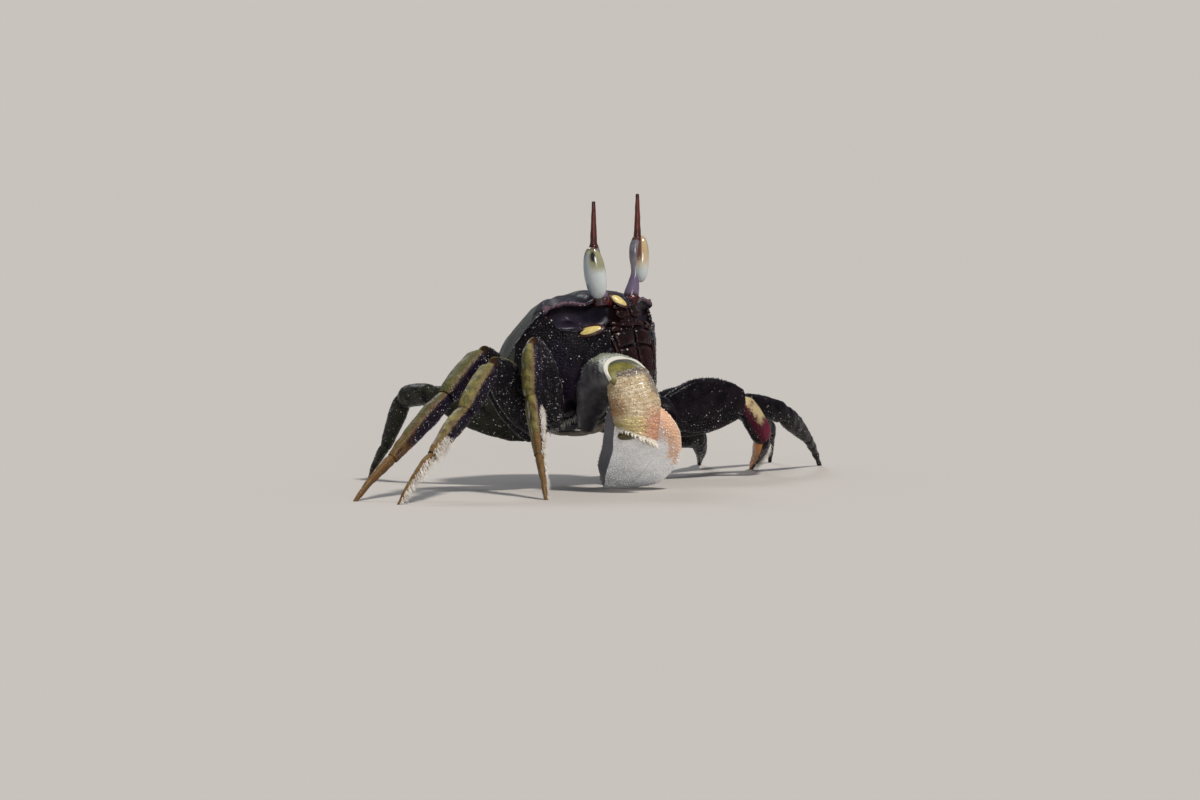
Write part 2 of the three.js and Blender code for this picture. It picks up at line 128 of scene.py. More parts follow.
def lumps(points, size, seed):
    # soft seeded unevenness from a few crossing waves, about -1 to 1
    draw = np.random.default_rng(seed)
    total = np.zeros(points.shape[:-1])
    for _ in range(7):
        way = unit(draw.normal(size=3))
        total += np.sin(points @ way * (2 * math.pi / size) * draw.uniform(0.6, 1.5) + draw.uniform(0, 6.28))
    return total / 3.2


def outwardOf(grid, wrap=True):
    # outward normals of a grid of points, rows by columns, the columns closed into rings
    across = np.roll(grid, -1, 1) - np.roll(grid, 1, 1) if wrap else np.gradient(grid, axis=1)
    along = np.gradient(grid, axis=0)
    normal = np.cross(across, along)
    normal /= np.linalg.norm(normal, axis=-1, keepdims=True) + 1e-12
    middle = grid.mean(1, keepdims=True)
    if (normal * (grid - middle)).sum() < 0:
        normal = -normal
    return normal


def skinFromRings(name, grid, masks=None):
    # closed skin from rings, a pole at each end; masks become point attributes
    rows, columns = grid.shape[:2]
    flat = grid.reshape(-1, 3)
    poles = np.vstack([grid[0].mean(0), grid[-1].mean(0)])
    points = (np.vstack([flat, poles]) + shift) * 0.001
    r, c = np.meshgrid(np.arange(rows - 1), np.arange(columns), indexing="ij")
    a, b = r * columns + c, r * columns + (c + 1) % columns
    quads = np.stack([a, b, b + columns, a + columns], -1).reshape(-1, 4)
    first, last, base = rows * columns, rows * columns + 1, (rows - 1) * columns
    ring = range(columns)
    caps = [[first, (i + 1) % columns, i] for i in ring] + [[last, base + i, base + (i + 1) % columns] for i in ring]
    mesh = bpy.data.meshes.new(name)
    mesh.from_pydata(points.tolist(), [], quads.tolist() + caps)
    mesh.update()
    middle = Vector(points.mean(0))
    if sum((face.center - middle).dot(face.normal) * face.area for face in mesh.polygons) < 0:
        mesh.flip_normals()
    mesh.polygons.foreach_set("use_smooth", [True] * len(mesh.polygons))
    for mask, values in (masks or {}).items():
        values = np.broadcast_to(values, (rows, columns))
        full = np.concatenate([values.reshape(-1), [values[0].mean(), values[-1].mean()]]).astype(np.float32)
        mesh.attributes.new(mask, "FLOAT", "POINT").data.foreach_set("value", full)
    # where each point lies on the unrolled skin, for whatever grows from it
    unrolled = np.zeros((rows * columns + 2, 3), np.float32)
    unrolled[:-2, 0] = np.tile(np.arange(columns) / columns, rows)
    unrolled[:-2, 1] = np.repeat(np.arange(rows) / rows, columns)
    mesh.attributes.new("unrolled", "FLOAT_VECTOR", "POINT").data.foreach_set("vector", unrolled.reshape(-1))
    piece = bpy.data.objects.new(name, mesh)
    bpy.context.scene.collection.objects.link(piece)
    return piece


def place(piece, finish, slot, *nodes):
    if finish is not None:
        piece.data.materials.clear()
        piece.data.materials.append(finish)
    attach(piece, "root")
    if nodes:
        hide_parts(*nodes)
    return piece


# what repeats over a skin is grown by node trees with named sizes
def growthTree(name, inputs):
    tree = bpy.data.node_groups.new(name, "GeometryNodeTree")
    tree.interface.new_socket("Geometry", in_out="INPUT", socket_type="NodeSocketGeometry")
    tree.interface.new_socket("Geometry", in_out="OUTPUT", socket_type="NodeSocketGeometry")
    for label, value in inputs.items():
        kind = "NodeSocketInt" if isinstance(value, int) else "NodeSocketFloat"
        tree.interface.new_socket(label, in_out="INPUT", socket_type=kind).default_value = value
    return tree, tree.nodes.new("NodeGroupInput").outputs


def named(tree, name, kind="FLOAT"):
    return lay(tree, "GeometryNodeInputNamedAttribute", {"Name": name}, data_type=kind).outputs["Attribute"]


def finishTree(tree, instances, finish):
    solid = lay(tree, "GeometryNodeRealizeInstances", {"Geometry": instances})
    smooth = lay(tree, "GeometryNodeSetShadeSmooth", {"Geometry": solid})
    painted = lay(tree, "GeometryNodeSetMaterial", {"Geometry": smooth, "Material": finish})
    join(tree, painted.outputs[0], tree.nodes.new("NodeGroupOutput").inputs[0])


def scatterOver(tree, inputs, mask):
    # even random spots on the skin, fewer where the mask is low
    return lay(tree, "GeometryNodeDistributePointsOnFaces", {
        "Mesh": inputs["Geometry"], "Distance Min": inputs["Spacing"], "Density Max": inputs["Density"],
        "Density Factor": named(tree, mask), "Seed": inputs["Seed"],
    }, distribute_method="POISSON")


def granuleTree(mask, finish):
    tree, inputs = growthTree(f"granules_{mask}", {"Spacing": 0.0005, "Density": 1e6, "Radius": 0.0002, "Flatness": 0.7, "Seed": 1})
    spots = scatterOver(tree, inputs, mask)
    ball = lay(tree, "GeometryNodeMeshIcoSphere", {"Radius": 1.0, "Subdivisions": 1})
    swing = lay(tree, "FunctionNodeRandomValue", {2: 0.55, 3: 1.25, "Seed": 5}, data_type="FLOAT").outputs[1]
    size = calc(tree, "MULTIPLY", inputs["Radius"], swing)
    height = calc(tree, "MULTIPLY", size, inputs["Flatness"])
    scale = lay(tree, "ShaderNodeCombineXYZ", {"X": size, "Y": size, "Z": height})
    instances = lay(tree, "GeometryNodeInstanceOnPoints", {
        "Points": spots.outputs["Points"], "Instance": ball, "Rotation": spots.outputs["Rotation"], "Scale": scale,
    })
    finishTree(tree, instances, finish)
    return tree


def beadTree(finish, shape):
    # one bead or tooth on every point, standing along its own direction
    tree, inputs = growthTree(f"beads_{shape}", {"Stretch": 1.0})
    if shape == "bead":
        form = lay(tree, "GeometryNodeMeshIcoSphere", {"Radius": 1.0, "Subdivisions": 2})
    else:
        form = lay(tree, "GeometryNodeMeshCone", {
            "Vertices": 10, "Side Segments": 4, "Radius Top": 0.12, "Radius Bottom": 1.0, "Depth": 2.0,
        })
    size = named(tree, "size")
    tall = calc(tree, "MULTIPLY", size, inputs["Stretch"])
    scale = lay(tree, "ShaderNodeCombineXYZ", {"X": size, "Y": size, "Z": tall})
    turn = lay(tree, "FunctionNodeAlignRotationToVector", {"Vector": named(tree, "way", "FLOAT_VECTOR")}, axis="Z")
    instances = lay(tree, "GeometryNodeInstanceOnPoints", {
        "Points": inputs["Geometry"], "Instance": form.outputs["Mesh"], "Rotation": turn, "Scale": scale,
    })
    finishTree(tree, instances, finish)
    return tree


def bristleTree(mask, finish):
    # tapered bent strands rooted in the skin; the map keeps each strand near its root's place on the unrolled skin
    tree, inputs = growthTree(f"bristles_{mask}", {
        "Spacing": 0.0003, "Density": 4e6, "Length": 0.0014, "Thickness": 0.00005, "Lean": 0.6, "Droop": 0.5, "Seed": 3,
    })
    spots = scatterOver(tree, inputs, mask)
    strand = lay(tree, "GeometryNodeMeshCone", {
        "Vertices": 3, "Side Segments": 4, "Radius Top": 0.15, "Radius Bottom": 1.0, "Depth": 1.0,
    })
    spot = lay(tree, "GeometryNodeInputPosition")
    apart = lay(tree, "ShaderNodeSeparateXYZ", {"Vector": spot})
    kept = lay(tree, "GeometryNodeStoreNamedAttribute", {"Geometry": strand.outputs["Mesh"], "Name": "strandPlace", "Value": spot},
               data_type="FLOAT_VECTOR", domain="POINT")
    swing = lay(tree, "FunctionNodeRandomValue", {2: 0.6, 3: 1.2, "Seed": 7}, data_type="FLOAT").outputs[1]
    tilt = lay(tree, "FunctionNodeRandomValue", {0: (-0.45, -0.45, -3.1), 1: (0.45, 0.45, 3.1), "Seed": 9}, data_type="FLOAT_VECTOR").outputs[0]
    down = lay(tree, "ShaderNodeVectorMath", {0: spots.outputs["Normal"], 1: (0, 0, 0)}, operation="ADD")
    hang = lay(tree, "ShaderNodeCombineXYZ", {"X": 0.0, "Y": 0.0, "Z": calc(tree, "MULTIPLY", inputs["Lean"], -1.0)})
    way = lay(tree, "ShaderNodeVectorMath", {0: down, 1: hang}, operation="ADD")
    turn = lay(tree, "FunctionNodeAlignRotationToVector", {"Vector": way}, axis="Z")
    turned = lay(tree, "FunctionNodeRotateRotation", {"Rotation": turn, "Rotate By": tilt}, rotation_space="LOCAL")
    long = calc(tree, "MULTIPLY", inputs["Length"], swing)
    scale = lay(tree, "ShaderNodeCombineXYZ", {"X": inputs["Thickness"], "Y": inputs["Thickness"], "Z": long})
    instances = lay(tree, "GeometryNodeInstanceOnPoints", {
        "Points": spots.outputs["Points"], "Instance": kept, "Rotation": turned, "Scale": scale,
    })
    solid = lay(tree, "GeometryNodeRealizeInstances", {"Geometry": instances})
    rise = lay(tree, "ShaderNodeSeparateXYZ", {"Vector": named(tree, "strandPlace", "FLOAT_VECTOR")}).outputs["Z"]
    sink = calc(tree, "MULTIPLY", calc(tree, "MULTIPLY", calc(tree, "MULTIPLY", rise, rise), inputs["Droop"]), inputs["Length"])
    drop = lay(tree, "ShaderNodeCombineXYZ", {"X": 0.0, "Y": 0.0, "Z": calc(tree, "MULTIPLY", sink, -1.0)})
    bent = lay(tree, "GeometryNodeSetPosition", {"Geometry": solid, "Offset": drop})
    here = lay(tree, "ShaderNodeSeparateXYZ", {"Vector": lay(tree, "GeometryNodeInputPosition")})
    above = lay(tree, "ShaderNodeCombineXYZ", {
        "X": here.outputs["X"], "Y": here.outputs["Y"], "Z": calc(tree, "MAXIMUM", here.outputs["Z"], 0.00002),
    })
    bent = lay(tree, "GeometryNodeSetPosition", {"Geometry": bent, "Position": above})
    patch = lay(tree, "ShaderNodeVectorMath", {0: named(tree, "strandPlace", "FLOAT_VECTOR"), "Scale": 0.0015}, operation="SCALE")
    spread = lay(tree, "ShaderNodeVectorMath", {0: named(tree, "unrolled", "FLOAT_VECTOR"), 1: patch}, operation="ADD")
    mapped = lay(tree, "GeometryNodeStoreNamedAttribute", {"Geometry": bent, "Name": "OFBake", "Value": spread},
                 data_type="FLOAT2", domain="CORNER")
    smooth = lay(tree, "GeometryNodeSetShadeSmooth", {"Geometry": mapped})
    painted = lay(tree, "GeometryNodeSetMaterial", {"Geometry": smooth, "Material": finish})
    join(tree, painted.outputs[0], tree.nodes.new("NodeGroupOutput").inputs[0])
    return tree


def grown(name, source, tree, slot, **sizes):
    # runs a growth tree over a copy of the skin and keeps what it makes as one plain mesh
    carrier = bpy.data.objects.new(name, source.copy() if isinstance(source, bpy.types.Mesh) else source.data.copy())
    bpy.context.scene.collection.objects.link(carrier)
    growth = carrier.modifiers.new("growth", "NODES")
    growth.node_group = tree
    for item in tree.interface.items_tree:
        if item.item_type == "SOCKET" and item.in_out == "INPUT" and item.name in sizes:
            growth[item.identifier] = sizes[item.name]
    graph = bpy.context.evaluated_depsgraph_get()
    mesh = bpy.data.meshes.new_from_object(carrier.evaluated_get(graph), preserve_all_data_layers=True, depsgraph=graph)
    mesh.name = name
    carrier.modifiers.clear()
    carrier.data = mesh
    if not len(mesh.polygons):
        bpy.data.objects.remove(carrier)
        return None
    return place(carrier, None, slot)


def beadRow(name, points, ways, sizes, finish, slot, shape="bead", stretch=1.0, masks=None):
    points, ways = np.asarray(points, float), np.asarray(ways, float)
    mesh = bpy.data.meshes.new(name)
    mesh.from_pydata(((points + shift) * 0.001).tolist(), [], [])
    for mask, values in (masks or {}).items():
        values = np.broadcast_to(values, len(points)).astype(np.float32)
        mesh.attributes.new(mask, "FLOAT", "POINT").data.foreach_set("value", values)
    mesh.attributes.new("way", "FLOAT_VECTOR", "POINT").data.foreach_set("vector", ways.reshape(-1).astype(np.float32))
    mesh.attributes.new("size", "FLOAT", "POINT").data.foreach_set("value", (np.asarray(sizes, float) * 0.001).astype(np.float32))
    return grown(name, mesh, beadTree(finish, shape), slot, Stretch=stretch)


# finishes: small helpers that lay nodes and join them
def newFinish(name):
    finish = bpy.data.materials.new(name)
    finish.use_nodes = True
    tree = finish.node_tree
    tree.nodes.clear()
    return finish, tree


def lay(tree, kind, inputs=None, **settings):
    node = tree.nodes.new(kind)
    for key, value in settings.items():
        setattr(node, key, value)
    for key, value in (inputs or {}).items():
        join(tree, value, node.inputs[key])
    return node


def join(tree, value, socket):
    if isinstance(value, bpy.types.NodeSocket):
        tree.links.new(value, socket)
    elif isinstance(value, bpy.types.Node):
        tree.links.new(value.outputs[0], socket)
    elif isinstance(value, (tuple, list)) and len(value) == 3 and socket.type == "RGBA":
        socket.default_value = (*value, 1)
    else:
        socket.default_value = value


def maskOf(tree, name):
    return lay(tree, "ShaderNodeAttribute", attribute_name=name).outputs["Fac"]


def calc(tree, operation, *values, clamp=False):
    node = lay(tree, "ShaderNodeMath", operation=operation, use_clamp=clamp)
    for k, value in enumerate(values):
        join(tree, value, node.inputs[k])
    return node.outputs[0]


def stretch(tree, value, low, high, toLow=0.0, toHigh=1.0):
    node = lay(tree, "ShaderNodeMapRange", {"Value": value}, interpolation_type="SMOOTHSTEP")
    for key, number in (("From Min", low), ("From Max", high), ("To Min", toLow), ("To Max", toHigh)):
        node.inputs[key].default_value = number
    return node.outputs[0]


def blendColour(tree, amount, first, second):
    node = lay(tree, "ShaderNodeMix", data_type="RGBA")
    join(tree, amount, node.inputs[0])
    join(tree, first, node.inputs[6])
    join(tree, second, node.inputs[7])
    return node.outputs[2]


def noiseOf(tree, spot, size, detail=3.0, rough=0.5):
    # size is the pattern's width in millimetres
    node = lay(tree, "ShaderNodeTexNoise", {"Vector": spot, "Scale": 1000 / size, "Detail": detail, "Roughness": rough})
    return node.outputs["Fac"]


def cellsOf(tree, spot, size, feature="F1", jitter=1.0):
    node = lay(tree, "ShaderNodeTexVoronoi", {"Vector": spot, "Scale": 1000 / size, "Randomness": jitter}, feature=feature)
    return node.outputs["Distance"]


def shellFinish(name, look):
    # horny shell: a mottled ground, tints laid over it by mask, pale specks painted in as glints, granules and pits in
    # the bump, wet sheen
    finish, tree = newFinish(name)
    spot = lay(tree, "ShaderNodeTexCoord").outputs["Object"]
    mottle = noiseOf(tree, spot, look.get("mottleSize", 3.0), 4.0, 0.6)
    fine = noiseOf(tree, spot, look.get("fineSize", 0.7), 3.0, 0.6)
    light, dark = look["ground"]
    colour = blendColour(tree, stretch(tree, mottle, 0.35, 0.65), dark, light)
    ragged = calc(tree, "ADD", calc(tree, "SUBTRACT", fine, 0.5), calc(tree, "SUBTRACT", mottle, 0.5))
    for mask, low, high, tint, strength, roughEdge in look.get("layers", []):
        edge = calc(tree, "ADD", maskOf(tree, mask), calc(tree, "MULTIPLY", ragged, roughEdge))
        amount = calc(tree, "MULTIPLY", stretch(tree, edge, low, high), strength)
        colour = blendColour(tree, amount, colour, tint)
    # pale specks mixed into the colour: painted glints standing for the sparkle of light on wet granules
    if look.get("paintedGlints"):
        tint, size, share, strength = look["paintedGlints"]
        glints = stretch(tree, cellsOf(tree, spot, size), share, share * 0.5, 0.0, strength)
        glints = calc(tree, "MULTIPLY", glints, stretch(tree, mottle, 0.35, 0.6))
        if look.get("glintMask"):
            glints = calc(tree, "MULTIPLY", glints, maskOf(tree, look["glintMask"]))
        colour = blendColour(tree, glints, colour, tint)
    grain = calc(tree, "SUBTRACT", 1.0, stretch(tree, cellsOf(tree, spot, look.get("granule", 0.5), "SMOOTH_F1"), 0.0, 0.75))
    if look.get("bumpMask"):
        grain = calc(tree, "MULTIPLY", grain, maskOf(tree, look["bumpMask"]))
    height = calc(tree, "ADD", calc(tree, "MULTIPLY", grain, look.get("bump", 0.6)), calc(tree, "MULTIPLY", fine, look.get("pits", 0.25)))
    relief = lay(tree, "ShaderNodeBump", {"Height": height, "Strength": look.get("relief", 0.5), "Distance": look.get("depth", 0.12) * 0.001})
    smoothest, roughest = look["roughness"]
    skin = lay(tree, "ShaderNodeBsdfPrincipled", {
        "Base Color": colour, "Roughness": stretch(tree, mottle, 0.3, 0.7, smoothest, roughest), "Normal": relief,
        "Coat Weight": look.get("coat", 0.0), "Coat Roughness": look.get("coatRoughness", 0.12),
        "Specular IOR Level": look.get("gloss", 0.35),
    })
    lay(tree, "ShaderNodeOutputMaterial", {"Surface": skin})
    return finish


tints = {
    "ink": (0.0035, 0.0028, 0.0042), "inkPurple": (0.0065, 0.0037, 0.0098), "olive": (0.075, 0.078, 0.066),
    "straw": (0.4, 0.34, 0.1), "palePink": (0.42, 0.3, 0.32), "cream": (0.62, 0.5, 0.19), "bone": (0.72, 0.68, 0.58),
    "orange": (0.62, 0.24, 0.09), "darkRed": (0.055, 0.008, 0.008), "lavender": (0.13, 0.115, 0.15),
}
finishes = {
    "carapace": shellFinish("carapaceShell", {
        "ground": [(0.007, 0.005, 0.008), tints["ink"]],
        "layers": [
            ("cheek", 0.3, 0.9, (0.01, 0.006, 0.014), 0.9, 0.5),
            ("belly", 0.4, 0.8, (0.3, 0.25, 0.2), 0.8, 0.4),
            ("dorsal", 0.42, 0.62, tints["olive"], 1.0, 0.12),
            ("brow", 0.3, 0.9, (0.016, 0.012, 0.02), 0.9, 0.3),
            ("furrow", 0.3, 0.9, (0.03, 0.022, 0.018), 0.8, 0.4),
            ("socket", 0.35, 0.8, (0.02, 0.015, 0.027), 0.9, 0.3),
            # the upper orbital rim's pinkish tint: partly its own colour, partly a painted highlight along the shiny
            # rim line
            ("rim", 0.45, 0.9, (0.17, 0.1, 0.13), 0.6, 0.9),
            ("straw", 0.4, 0.7, tints["straw"], 0.8, 0.2),
            ("redness", 0.3, 0.8, (0.012, 0.004, 0.005), 0.9, 0.4),
        ],
        "roughness": (0.24, 0.4), "granule": 0.45, "bump": 0.9, "bumpMask": "granular", "relief": 0.7, "mottleSize": 4.0, "gloss": 0.09,
    }),
    "granules": shellFinish("shellGranules", {
        # the pale specks on these granules are painted glints
        "ground": [(0.02, 0.014, 0.022), (0.008, 0.005, 0.009)], "paintedGlints": ((0.75, 0.7, 0.74), 1.2, 0.42, 1.0),
        "layers": [
            ("straw", 0.4, 0.7, tints["straw"], 0.7, 0.2), ("redness", 0.3, 0.8, (0.03, 0.008, 0.008), 0.9, 0.4),
            ("belly", 0.4, 0.8, (0.3, 0.25, 0.2), 0.8, 0.4), ("dorsal", 0.42, 0.62, tints["olive"], 1.0, 0.12),
        ],
        "roughness": (0.08, 0.18), "relief": 0.05, "gloss": 0.4, "coat": 0.7, "coatRoughness": 0.03,
    }),
    "legGranules": shellFinish("legGranules", {
        "ground": [(0.24, 0.22, 0.08), (0.13, 0.11, 0.04)],
        "layers": [("dark", 0.35, 0.6, (0.02, 0.012, 0.03), 1.0, 0.35), ("shade", 0.4, 1.0, (0.006, 0.004, 0.007), 0.9, 0.3)],
        # pale specks on the dark granules are painted glints
        "paintedGlints": ((0.8, 0.74, 0.8), 0.9, 0.46, 1.0), "glintMask": "dark",
        "roughness": (0.1, 0.2), "relief": 0.05, "gloss": 0.45, "coat": 0.6, "coatRoughness": 0.03,
    }),
    "mouthParts": shellFinish("mouthPlates", {
        "ground": [(0.02, 0.0036, 0.0034), (0.0024, 0.0014, 0.0018)],
        "layers": [("groove", 0.3, 0.8, tints["ink"], 0.7, 0.3)],
        "roughness": (0.16, 0.34), "granule": 0.55, "bump": 0.9, "relief": 0.6, "gloss": 0.2, "mottleSize": 4.5, "fineSize": 1.2,
    }),
    "underside": shellFinish("undersidePlates", {
        "ground": [(0.3, 0.25, 0.2), (0.12, 0.09, 0.08)], "roughness": (0.4, 0.6), "granule": 0.6, "relief": 0.4,
    }),
    "stalk": shellFinish("stalkSkin", {
        "ground": [(0.19, 0.18, 0.2), (0.11, 0.1, 0.12)],
        "layers": [
            ("base", 0.25, 0.75, (0.12, 0.085, 0.15), 0.85, 0.3), ("root", 0.4, 0.8, (0.03, 0.007, 0.01), 0.97, 0.5),
            ("tip", 0.3, 0.8, (0.07, 0.02, 0.014), 1.0, 0.2),
        ],
        "roughness": (0.16, 0.3), "granule": 1.2, "bump": 0.2, "relief": 0.2, "coat": 0.35, "coatRoughness": 0.05, "gloss": 0.4,
    }),
    "horn": shellFinish("eyeHorn", {
        "ground": [(0.105, 0.02, 0.011), (0.05, 0.01, 0.007)],
        "layers": [("tip", 0.3, 0.9, (0.03, 0.009, 0.007), 0.85, 0.3), ("root", 0.4, 0.9, (0.03, 0.008, 0.006), 0.8, 0.3)],
        "roughness": (0.28, 0.42), "granule": 0.4, "bump": 0.3, "relief": 0.3, "mottleSize": 2.0,
    }),
    "strawLeg": shellFinish("strawLegShell", {
        "ground": [(0.22, 0.19, 0.06), (0.08, 0.07, 0.023)],
        "layers": [
            ("olive", 0.3, 0.9, (0.06, 0.062, 0.024), 0.85, 0.8),
            ("blotch", 0.5, 0.75, (0.07, 0.03, 0.018), 0.75, 1.1),
            ("seam", 0.4, 0.9, (0.14, 0.055, 0.04), 0.5, 0.8),
            ("dark", 0.3, 0.75, tints["inkPurple"], 1.0, 0.8),
            ("keel", 0.4, 0.9, (0.4, 0.38, 0.36), 0.8, 0.3),
            ("amber", 0.3, 0.8, (0.14, 0.07, 0.022), 0.8, 0.8),
            ("shade", 0.35, 0.8, tints["ink"], 1.0, 0.3),
            ("joint", 0.3, 0.7, (0.1, 0.05, 0.03), 0.9, 0.2),
        ],
        "roughness": (0.28, 0.46), "granule": 0.4, "bump": 0.9, "relief": 0.8, "mottleSize": 2.0, "gloss": 0.12, "fineSize": 0.5,
    }),
    "darkLeg": shellFinish("darkLegShell", {
        "ground": [(0.009, 0.006, 0.008), tints["ink"]],
        "layers": [
            ("olive", 0.3, 0.9, (0.022, 0.024, 0.014), 0.9, 0.6), ("amber", 0.3, 0.9, (0.07, 0.018, 0.012), 0.9, 0.4),
            ("blushEdge", 0.25, 0.8, (0.06, 0.008, 0.018), 0.9, 0.6), ("blush", 0.35, 0.85, (0.44, 0.35, 0.19), 0.95, 0.7),
            ("blushEnd", 0.2, 0.9, (0.11, 0.014, 0.03), 0.9, 0.9), ("ember", 0.3, 0.7, (0.62, 0.26, 0.09), 0.95, 0.4),
            ("joint", 0.3, 0.7, (0.05, 0.015, 0.02), 0.8, 0.2),
        ],
        "roughness": (0.2, 0.36), "granule": 0.45, "bump": 0.8, "relief": 0.5, "gloss": 0.08,
    }),
    "clawArm": shellFinish("clawArmShell", {
        "ground": [(0.13, 0.125, 0.13), (0.07, 0.066, 0.076)],
        "layers": [
            ("side", 0.4, 0.9, (0.035, 0.026, 0.04), 0.8, 0.4),
            ("lower", 0.2, 0.8, (0.008, 0.006, 0.01), 0.95, 0.4),
            ("crest", 0.35, 0.8, (0.2, 0.22, 0.15), 0.9, 0.5),
            ("band", 0.35, 0.8, (0.34, 0.35, 0.3), 0.85, 0.6),
            ("rim", 0.4, 0.7, (0.62, 0.6, 0.52), 1.0, 0.1),
        ],
        "roughness": (0.34, 0.5), "granule": 0.6, "bump": 0.8, "relief": 0.4, "coat": 0.1,
    }),
    "elbow": shellFinish("elbowSkin", {
        "ground": [(0.2, 0.18, 0.035), (0.1, 0.085, 0.016)], "roughness": (0.42, 0.55), "granule": 1.0, "bump": 0.3, "relief": 0.3,
    }),
    # the olive joint membrane again, darkened as painted shade where it lies between carpus and palm
    "wristSkinInShade": shellFinish("wristSkinInShade", {
        "ground": [(0.085, 0.068, 0.012), (0.04, 0.028, 0.008)], "roughness": (0.25, 0.4), "granule": 0.8, "bump": 0.3, "relief": 0.3,
        "coat": 0.3,
    }),
    "clawWrist": shellFinish("clawWristShell", {
        "ground": [(0.6, 0.49, 0.33), (0.42, 0.31, 0.17)],
        "layers": [
            # the carpus's left side darker brown: partly its own tone, partly painted shade on the side turned from the
            # light
            ("leftSide", 0.3, 0.9, (0.25, 0.13, 0.05), 0.85, 0.9), ("straw", 0.4, 0.9, (0.52, 0.42, 0.15), 0.8, 0.7),
            ("olive", 0.3, 0.9, (0.27, 0.23, 0.045), 0.85, 0.6), ("rightLow", 0.15, 1.1, (0.52, 0.2, 0.12), 0.85, 1.0),
            ("upper", 0.4, 0.8, (0.15, 0.135, 0.12), 0.8, 0.9), ("dome", 0.3, 0.8, (0.085, 0.085, 0.085), 1.0, 0.3),
            ("stria", 0.6, 1.0, (0.2, 0.13, 0.07), 0.5, 0.8), ("edge", 0.4, 0.8, (0.78, 0.72, 0.62), 0.85, 0.3),
        ],
        # pale specks on the carpus are painted glints on its wet granules
        "paintedGlints": ((0.8, 0.7, 0.55), 0.6, 0.42, 0.6),
        "roughness": (0.24, 0.42), "granule": 0.5, "bump": 0.9, "relief": 0.9, "mottleSize": 2.0, "coat": 0.35, "coatRoughness": 0.1,
    }),
    "handGranules": shellFinish("handGranules", {
        "ground": [(0.95, 0.95, 0.94), (0.8, 0.81, 0.82)],
        "layers": [
            ("upper", 0.5, 0.9, (0.72, 0.5, 0.4), 0.5, 0.6), ("rightEdge", 0.25, 0.95, (0.8, 0.52, 0.33), 0.85, 1.5),
            # painted shade: the hand's left side face tinted grey as if turned from the light
            ("leftSide", 0.4, 0.6, (0.16, 0.16, 0.19), 0.95, 0.1),
        ],
        "roughness": (0.2, 0.35), "relief": 0.05, "coat": 0.5,
    }),
    "eyeRoot": shellFinish("eyeRootSkin", {
        "ground": [(0.075, 0.01, 0.012), (0.007, 0.003, 0.005)], "roughness": (0.14, 0.3), "granule": 0.9, "relief": 0.3,
        "mottleSize": 1.6, "coat": 0.15, "coatRoughness": 0.05, "gloss": 0.25,
    }),
    "clawHand": shellFinish("clawHandShell", {
        "ground": [(0.96, 0.97, 0.97), (0.84, 0.85, 0.87)],
        "layers": [
            ("blue", 0.4, 0.9, (0.62, 0.68, 0.76), 0.6, 0.8),
            ("upper", 0.5, 0.9, (0.6, 0.34, 0.26), 0.5, 0.6),
            ("rightEdge", 0.25, 0.95, (0.66, 0.36, 0.2), 0.85, 1.5),
            # painted shade: the hand's left side face tinted dark grey as if turned from the light
            ("leftSide", 0.4, 0.6, (0.085, 0.085, 0.105), 0.95, 0.1),
        ],
        "roughness": (0.4, 0.6), "granule": 0.5, "bump": 0.9, "relief": 0.8, "mottleSize": 3.0, "coat": 0.15,
    }),
    "creamPad": shellFinish("creamPad", {
        "ground": [(0.62, 0.5, 0.17), (0.48, 0.36, 0.12)], "layers": [("edge", 0.4, 0.9, (0.035, 0.008, 0.007), 1.0, 0.3)],
        "roughness": (0.3, 0.45), "granule": 0.5, "bump": 0.4, "relief": 0.3, "mottleSize": 1.6, "coat": 0.2,
    }),
    "teeth": shellFinish("whiteTeeth", {
        "ground": [(0.78, 0.75, 0.66), (0.62, 0.57, 0.47)], "roughness": (0.3, 0.45), "granule": 0.4, "bump": 0.3, "relief": 0.2,
    }),
    "bristles": shellFinish("paleBristles", {
        "ground": [(0.86, 0.82, 0.76), (0.7, 0.64, 0.56)], "roughness": (0.45, 0.6), "granule": 0.2, "bump": 0.2, "relief": 0.1,
    }),
}
print("finishes laid")

def lump(name, centre, axes, finish, slot, seed=0, rough=0.04, masks=None, rows=26, columns=28):
    # a rounded body on three half-axes, a little uneven
    polar = np.linspace(0.05, math.pi - 0.05, rows)[:, None, None]
    angle = (2 * math.pi * np.arange(columns) / columns)[None, :, None]
    first, second, third = (np.asarray(axis, float) for axis in axes)
    grid = centre + first * np.cos(polar) + (second * np.cos(angle) + third * np.sin(angle)) * np.sin(polar)
    size = np.linalg.norm(first)
    grid = grid + outwardOf(grid) * (lumps(grid, size * 1.6, seed) * rough * size)[..., None]
    return place(skinFromRings(name, grid, masks), finish, slot)


# trunk
girdles = {
    "margin": [[0, -0.46, 0.13], [0.1, -0.445, 0.2], [0.27, -0.385, 0.22], [0.46, -0.3, 0.25], [0.497, -0.14, 0.22],
               [0.49, 0.06, 0.18], [0.455, 0.265, 0.13], [0.34, 0.415, 0.08], [0, 0.46, 0.1]],
    "waist": [[0, -0.43, 0.02], [0.1, -0.425, 0.02], [0.24, -0.375, 0.015], [0.37, -0.27, 0.02], [0.445, -0.12, 0],
              [0.465, 0.06, -0.04], [0.42, 0.25, -0.07], [0.3, 0.37, -0.08], [0, 0.41, -0.05]],
    "keel": [[0, -0.3, -0.28], [0.07, -0.295, -0.28], [0.14, -0.26, -0.285], [0.23, -0.19, -0.29], [0.29, -0.09, -0.29],
             [0.31, 0.05, -0.28], [0.29, 0.18, -0.25], [0.2, 0.29, -0.2], [0, 0.33, -0.17]],
}
